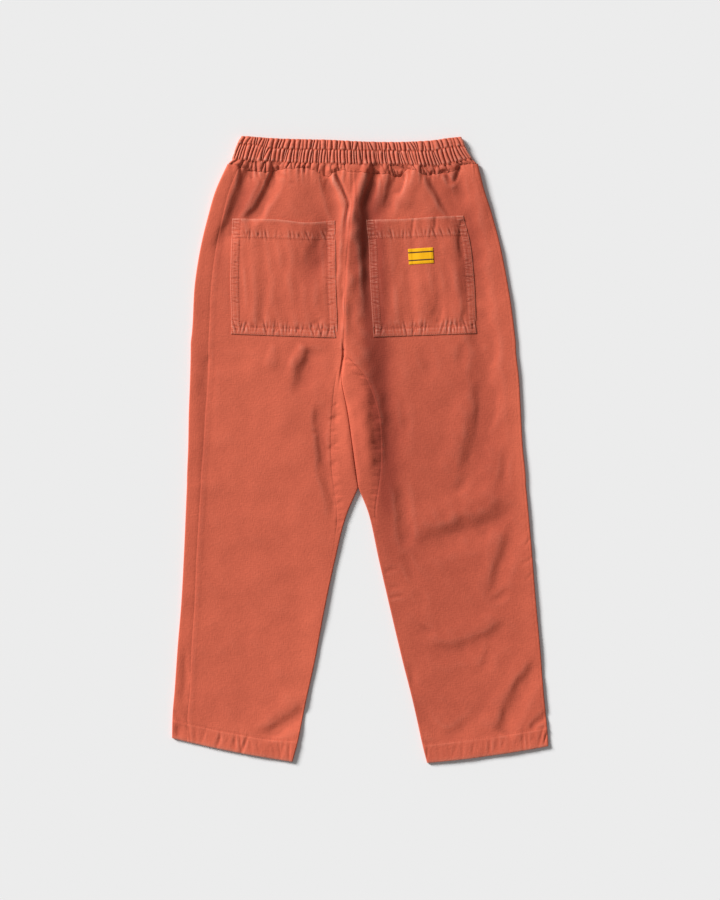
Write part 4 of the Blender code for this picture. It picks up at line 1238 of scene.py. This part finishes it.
def hem_line(half, low, high):
    """Plan line of the hem stitches between two shares of the row."""
    share = np.linspace(low, high, 60)
    deep = hem_at(half, share)
    drop = np.full(60, DROP["hem edge"] - half.hem_depth)
    for nearer in range(8):
        away = share * row_length(half, drop)
        y = lay(half, drop, away)[1]
        drop = drop + to_hem_edge(half, drop, away, y) - deep
    return np.column_stack(lay(half, drop, share * row_length(half, drop)))


def pocket_line(half, down, share):
    """Plan line along a pocket at shares of its height and width."""
    drop, away = pocket_place(half, np.asarray(down), np.asarray(share))
    return np.column_stack(lay(half, drop, away))


def pocket_lines(half):
    """The two rows along the sides and the bottom, and the row along the hem."""
    middle = np.array([float(DROP["pocket middle"])])
    wide = (across(half, "pocket_in", middle) - across(half, "pocket_out", middle)) \
        * row_length(half, middle)
    wide = float(wide[0])
    lines = []
    for inset in (EDGE_ROW, BORDER):
        a, b = inset / wide, 1 - inset / POCKET_TALL
        run = np.linspace(0.004, b, 50)
        lines.append(pocket_line(half, run, run * 0 + a))
        lines.append(pocket_line(half, run, run * 0 + 1 - a))
        run = np.linspace(a, 1 - a, 50)
        lines.append(pocket_line(half, run * 0 + b, run))
    run = np.linspace(0.01, 0.99, 60)
    lines.append(pocket_line(half, run * 0 + (POCKET_HEM - 1) / POCKET_TALL, run))
    return lines


back_trees = tree_of(backs["left"], backs["right"], fronts["left"], fronts["right"])
threads = [sew("pocket_stitches_" + half.side, pocket_lines(half), tree_of(pockets[half.side]))
           for half in (LEFT, RIGHT)]
threads += [sew("hem_stitches_" + half.side, [hem_line(half, 0.015, 0.985)], back_trees)
            for half in (LEFT, RIGHT)]
seat = np.linspace(452, 396, 12)
threads.append(sew("seat_stitches",
                   [np.column_stack((0 * seat + FELLED_MIDDLE + side * FELLED_HALF, seat))
                    for side in (-1, 1)], back_trees + tree_of(waistband)))
across_band = np.linspace(-194, 166, 120)
threads.append(sew("waistband_stitches",
                   [np.column_stack((across_band, band_line(line, across_band)))
                    for line in ("upper_stitch", "lower_stitch")], tree_of(waistband)))
corners = [label_place(18.4 * right, 11 * up)
           for right, up in ((-1, 1), (1, 1), (1, -1), (-1, -1), (-1, 1))]
label_thread = sew("label_stitches", [corners], tree_of(label), pitch=2.2, stitch=1.7,
                   thread=0.4)

# %% [markdown]
# ## Finishes
# Colours are written as they look on a screen and turned to linear light once.  One small
# function adds a node with its settings and links, so that each finish reads as a list.

# %% Helpers for the finishes
def linear(screen_hex):
    """Linear colour of a screen colour such as c7624a."""
    values = [int(screen_hex[k:k + 2], 16) / 255 for k in (0, 2, 4)]
    return tuple(v / 12.92 if v <= 0.04045 else ((v + 0.055) / 1.055) ** 2.4
                 for v in values) + (1.0,)


def feed(tree, made, inputs):
    """Give sockets of a node, by name or number, their values or links from other nodes."""
    for name, value in inputs.items():
        if isinstance(value, bpy.types.NodeSocket):
            tree.links.new(value, made.inputs[name])
        else:
            made.inputs[name].default_value = value


def node(tree, kind, inputs=None, **settings):
    """Add a node with its settings, and with what its sockets are fed."""
    made = tree.nodes.new(kind)
    for name, value in settings.items():
        setattr(made, name, value)
    feed(tree, made, inputs or {})
    return made


def new_finish(name):
    """A new material with its tree of nodes and its shader."""
    finish = bpy.data.materials.new(name)
    finish.use_nodes = True
    return finish, finish.node_tree, finish.node_tree.nodes["Principled BSDF"]


def per_mm(across_mm, along_mm=None):
    """Mapping scale of a pattern in metres with features of these sizes."""
    return (1 / (across_mm * MM), 1 / ((along_mm or across_mm) * MM), 1 / (across_mm * MM))


# %% [markdown]
# ## Garment-dyed cotton canvas
# The trousers are sewn first and dyed after, in a strong plain weave.  The dye takes
# unevenly: slightly cloudy on the flat, lighter where edges and seams are rubbed.  Painted
# shade darkens the grooves of seams, the crevices and the troughs of folds and gathers.
# Thick and thin places in the yarns give short streaks along and across.  The yarn is about
# half a millimetre, too fine to show, so the streaks are drawn about three times as wide.

# %% Cotton canvas
YARN = 1.7                 # millimetres as drawn
SLUB = 7.0                 # length of a thick place in a yarn


def cotton_canvas(name, body, deep, rubbed, crevice_shade):
    """Matte dyed canvas with slubs, clouds and rubbed edges, painted shade in its crevices, and
    deep dye that is partly painted shade of folds.
    """
    finish, tree, shader = new_finish(name)
    cloth = node(tree, "ShaderNodeUVMap", uv_map="cloth").outputs["UV"]
    place = node(tree, "ShaderNodeTexCoord").outputs["Object"]
    along = node(tree, "ShaderNodeMapping", {"Vector": cloth, "Scale": per_mm(YARN, SLUB)})
    over = node(tree, "ShaderNodeMapping", {"Vector": cloth, "Scale": per_mm(SLUB, YARN)})
    warp = node(tree, "ShaderNodeTexNoise", {"Vector": along.outputs[0], "Scale": 1.0,
                                             "Detail": 2.0})
    weft = node(tree, "ShaderNodeTexNoise", {"Vector": over.outputs[0], "Scale": 1.0,
                                             "Detail": 2.0})
    weave = node(tree, "ShaderNodeMath", {0: warp.outputs["Fac"], 1: weft.outputs["Fac"]},
                 operation="ADD")
    clouds = node(tree, "ShaderNodeTexNoise", {"Vector": place, "Scale": 1 / (42 * MM),
                                               "Detail": 4.0, "Roughness": 0.6})
    nap = node(tree, "ShaderNodeTexNoise", {"Vector": place, "Scale": 1 / (3.4 * MM),
                                            "Detail": 3.0, "Roughness": 0.75})
    tone = node(tree, "ShaderNodeMath", {0: clouds.outputs["Fac"], 1: 1.0,
                                         2: weave.outputs[0]}, operation="MULTIPLY_ADD")
    tone = node(tree, "ShaderNodeMath", {0: nap.outputs["Fac"], 1: 1.2, 2: tone.outputs[0]},
                operation="MULTIPLY_ADD")
    tone = node(tree, "ShaderNodeMapRange", {"Value": tone.outputs[0], "From Min": 1.45,
                                             "From Max": 2.75, "To Min": 0.53,
                                             "To Max": 0.93}, clamp=False)
    # The dye mark is uneven dye, and in part painted shade of folds where it is below 0.
    dye_and_shade_mark = node(tree, "ShaderNodeAttribute", attribute_name="dye_and_shade")
    tone = node(tree, "ShaderNodeMath", {0: dye_and_shade_mark.outputs["Fac"], 1: 0.67, 2: tone.outputs[0]},
                operation="MULTIPLY_ADD")
    # The deep colour is the darkest dye, and also the painted shade of broad folds that the dye
    # mark brings.
    dyed_and_shaded = node(tree, "ShaderNodeMix", {"Factor": tone.outputs[0], "A": linear(deep),
                                        "B": linear(body)}, data_type="RGBA")
    wear_and_shade = node(tree, "ShaderNodeAttribute", attribute_name="wear_and_shade")
    patchy = node(tree, "ShaderNodeMapRange", {"Value": nap.outputs["Fac"], "From Min": 0.3,
                                               "From Max": 0.7, "To Min": 0.35})
    rub = node(tree, "ShaderNodeMath", {0: wear_and_shade.outputs["Fac"], 1: patchy.outputs[0]},
               operation="MULTIPLY", use_clamp=True)
    light = node(tree, "ShaderNodeMix", {"Factor": rub.outputs[0], "A": dyed_and_shaded.outputs["Result"],
                                         "B": linear(rubbed)}, data_type="RGBA")
    # Below 0 the mark is painted shade, mixed towards the crevice colour.
    shade_in_crevices = node(tree, "ShaderNodeMath", {0: wear_and_shade.outputs["Fac"], 1: -1.0},
                   operation="MULTIPLY", use_clamp=True)
    colour = node(tree, "ShaderNodeMix", {"Factor": shade_in_crevices.outputs[0],
                                          "A": light.outputs["Result"],
                                          "B": linear(crevice_shade)}, data_type="RGBA")
    crinkle = node(tree, "ShaderNodeTexNoise", {"Vector": place, "Scale": 1 / (15 * MM),
                                                "Detail": 3.0, "Roughness": 0.6})
    relief = node(tree, "ShaderNodeMath", {0: nap.outputs["Fac"], 1: 0.95,
                                           2: weave.outputs[0]}, operation="MULTIPLY_ADD")
    relief = node(tree, "ShaderNodeMath", {0: crinkle.outputs["Fac"], 1: 1.1,
                                           2: relief.outputs[0]}, operation="MULTIPLY_ADD")
    bump = node(tree, "ShaderNodeBump", {"Height": relief.outputs[0], "Strength": 0.6,
                                         "Distance": 0.5 * MM})
    feed(tree, shader, {"Base Color": colour.outputs["Result"], "Normal": bump.outputs["Normal"],
                        "Roughness": 0.92, "IOR": 1.5, "Specular IOR Level": 0.25,
                        "Sheen Weight": 0.12, "Sheen Roughness": 0.5,
                        "Sheen Tint": linear("f0b8a0")})
    return finish


# The last colour of each canvas is painted shade, for seams, crevices and troughs.
canvas = cotton_canvas("garment_dyed_cotton_canvas", "d2654b", "963e2e", "d28e7a", "74352a")
thread_finish = cotton_canvas("tonal_cotton_thread", "cf6c54", "9c4534", "d98b76", "74352a")

# %% [markdown]
# ## Label weave
# A woven label is satin: fine smooth threads with a soft gloss, yellow here.  Two plain
# dark stripes are woven in, and they are all that it shows.

# %% Satin label weave
STRIPE_AT = 6.3            # millimetres from the label's middle line


def satin_label(name, ground, stripe):
    """Yellow satin weave with two dark stripes along the label."""
    finish, tree, shader = new_finish(name)
    cloth = node(tree, "ShaderNodeUVMap", uv_map="cloth").outputs["UV"]
    height = node(tree, "ShaderNodeSeparateXYZ", {"Vector": cloth}).outputs["Y"]
    mirrored = node(tree, "ShaderNodeMath", {0: height}, operation="ABSOLUTE")
    beside = node(tree, "ShaderNodeMath", {0: mirrored.outputs[0], 1: STRIPE_AT * MM},
                  operation="SUBTRACT")
    near = node(tree, "ShaderNodeMath", {0: beside.outputs[0]}, operation="ABSOLUTE")
    band = node(tree, "ShaderNodeMapRange", {"Value": near.outputs[0], "From Min": 0.9 * MM,
                                             "From Max": 1.2 * MM, "To Min": 1.0,
                                             "To Max": 0.0})
    threads_across = node(tree, "ShaderNodeMapping", {"Vector": cloth,
                                                      "Scale": per_mm(6.0, 0.8)})
    fine = node(tree, "ShaderNodeTexNoise", {"Vector": threads_across.outputs[0], "Scale": 1.0,
                                             "Detail": 2.0})
    shade = node(tree, "ShaderNodeMix", {"Factor": fine.outputs["Fac"], "A": linear("e9a400"),
                                         "B": linear(ground)}, data_type="RGBA")
    colour = node(tree, "ShaderNodeMix", {"Factor": band.outputs[0],
                                          "A": shade.outputs["Result"],
                                          "B": linear(stripe)}, data_type="RGBA")
    bump = node(tree, "ShaderNodeBump", {"Height": fine.outputs["Fac"], "Strength": 0.4,
                                         "Distance": 0.2 * MM})
    feed(tree, shader, {"Base Color": colour.outputs["Result"], "Normal": bump.outputs["Normal"],
                        "Roughness": 0.7, "IOR": 1.5, "Specular IOR Level": 0.25})
    return finish


satin = satin_label("satin_label_weave", "f8ba06", "4a2a1c")
label_thread_finish = cotton_canvas("yellow_cotton_thread", "f2b41c", "d99a10", "f6cf62",
                                    "b8841a")

# %% [markdown]
# ## Table and light
# A pale table without an edge, one large soft lamp from the upper left, and an even white
# surround.  Together they put the table just under white, with short soft shadows.

# %% Table, lamp and surround
TABLE_SIZE = 30            # metres, so that no edge is in the picture
TABLE_SINK = 0.00005       # metres that it lies under the cloth
LAMP_STRENGTH = 5.34
LAMP_WIDTH = 20            # degrees of sky that the lamp covers
LAMP_DIRECTION = Vector((-0.698, 0.539, 0.469))
SURROUND_STRENGTH = 0.25
bpy.ops.mesh.primitive_plane_add(size=TABLE_SIZE, location=(0, 0, -TABLE_SINK))
table = bpy.context.object
table.name = "table"
paper, paper_tree, surface = new_finish("matte_paper_table")
feed(paper_tree, surface, {"Base Color": (0.8, 0.8, 0.8, 1), "Roughness": 1.0,
                           "Specular IOR Level": 0.0})
table.data.materials.append(paper)

lamp_data = bpy.data.lights.new("soft_lamp", "SUN")
lamp_data.energy = LAMP_STRENGTH
lamp_data.angle = math.radians(LAMP_WIDTH)
lamp = bpy.data.objects.new("soft_lamp", lamp_data)
lamp.rotation_euler = LAMP_DIRECTION.to_track_quat("Z", "Y").to_euler()
bpy.context.scene.collection.objects.link(lamp)
surround = bpy.data.worlds.new("even_surround")
surround.use_nodes = True
feed(surround.node_tree, surround.node_tree.nodes["Background"],
     {"Color": (1, 1, 1, 1), "Strength": SURROUND_STRENGTH})
bpy.context.scene.world = surround
bpy.context.scene.view_settings.view_transform = "Standard"
print("lamp direction", [round(v, 2) for v in lamp.matrix_world.to_3x3().col[2]])

# %% [markdown]
# ## What each piece stands for
# Each panel, pocket, the waistband and the label takes the place of an imported node, which
# is hidden.  Every new piece gets its finish and rides with the one body.

# %% Finishes, hidden imported nodes and the one body
ROOT = "root"
for half in (LEFT, RIGHT):
    for piece, part in ((backs[half.side], "back_"), (fronts[half.side], "front_"),
                        (pockets[half.side], "pocket_")):
        piece.data.materials.append(canvas)
        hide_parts(part + half.side)
        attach(piece, ROOT)
waistband.data.materials.append(canvas)
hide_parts("waistband")
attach(waistband, ROOT)
label.data.materials.append(satin)
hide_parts("label")
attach(label, ROOT)
for thread in threads:
    thread.data.materials.append(thread_finish)
    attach(thread, ROOT)
label_thread.data.materials.append(label_thread_finish)
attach(label_thread, ROOT)

print("waistband area", round(sum(f.area for f in waistband.data.polygons), 4))
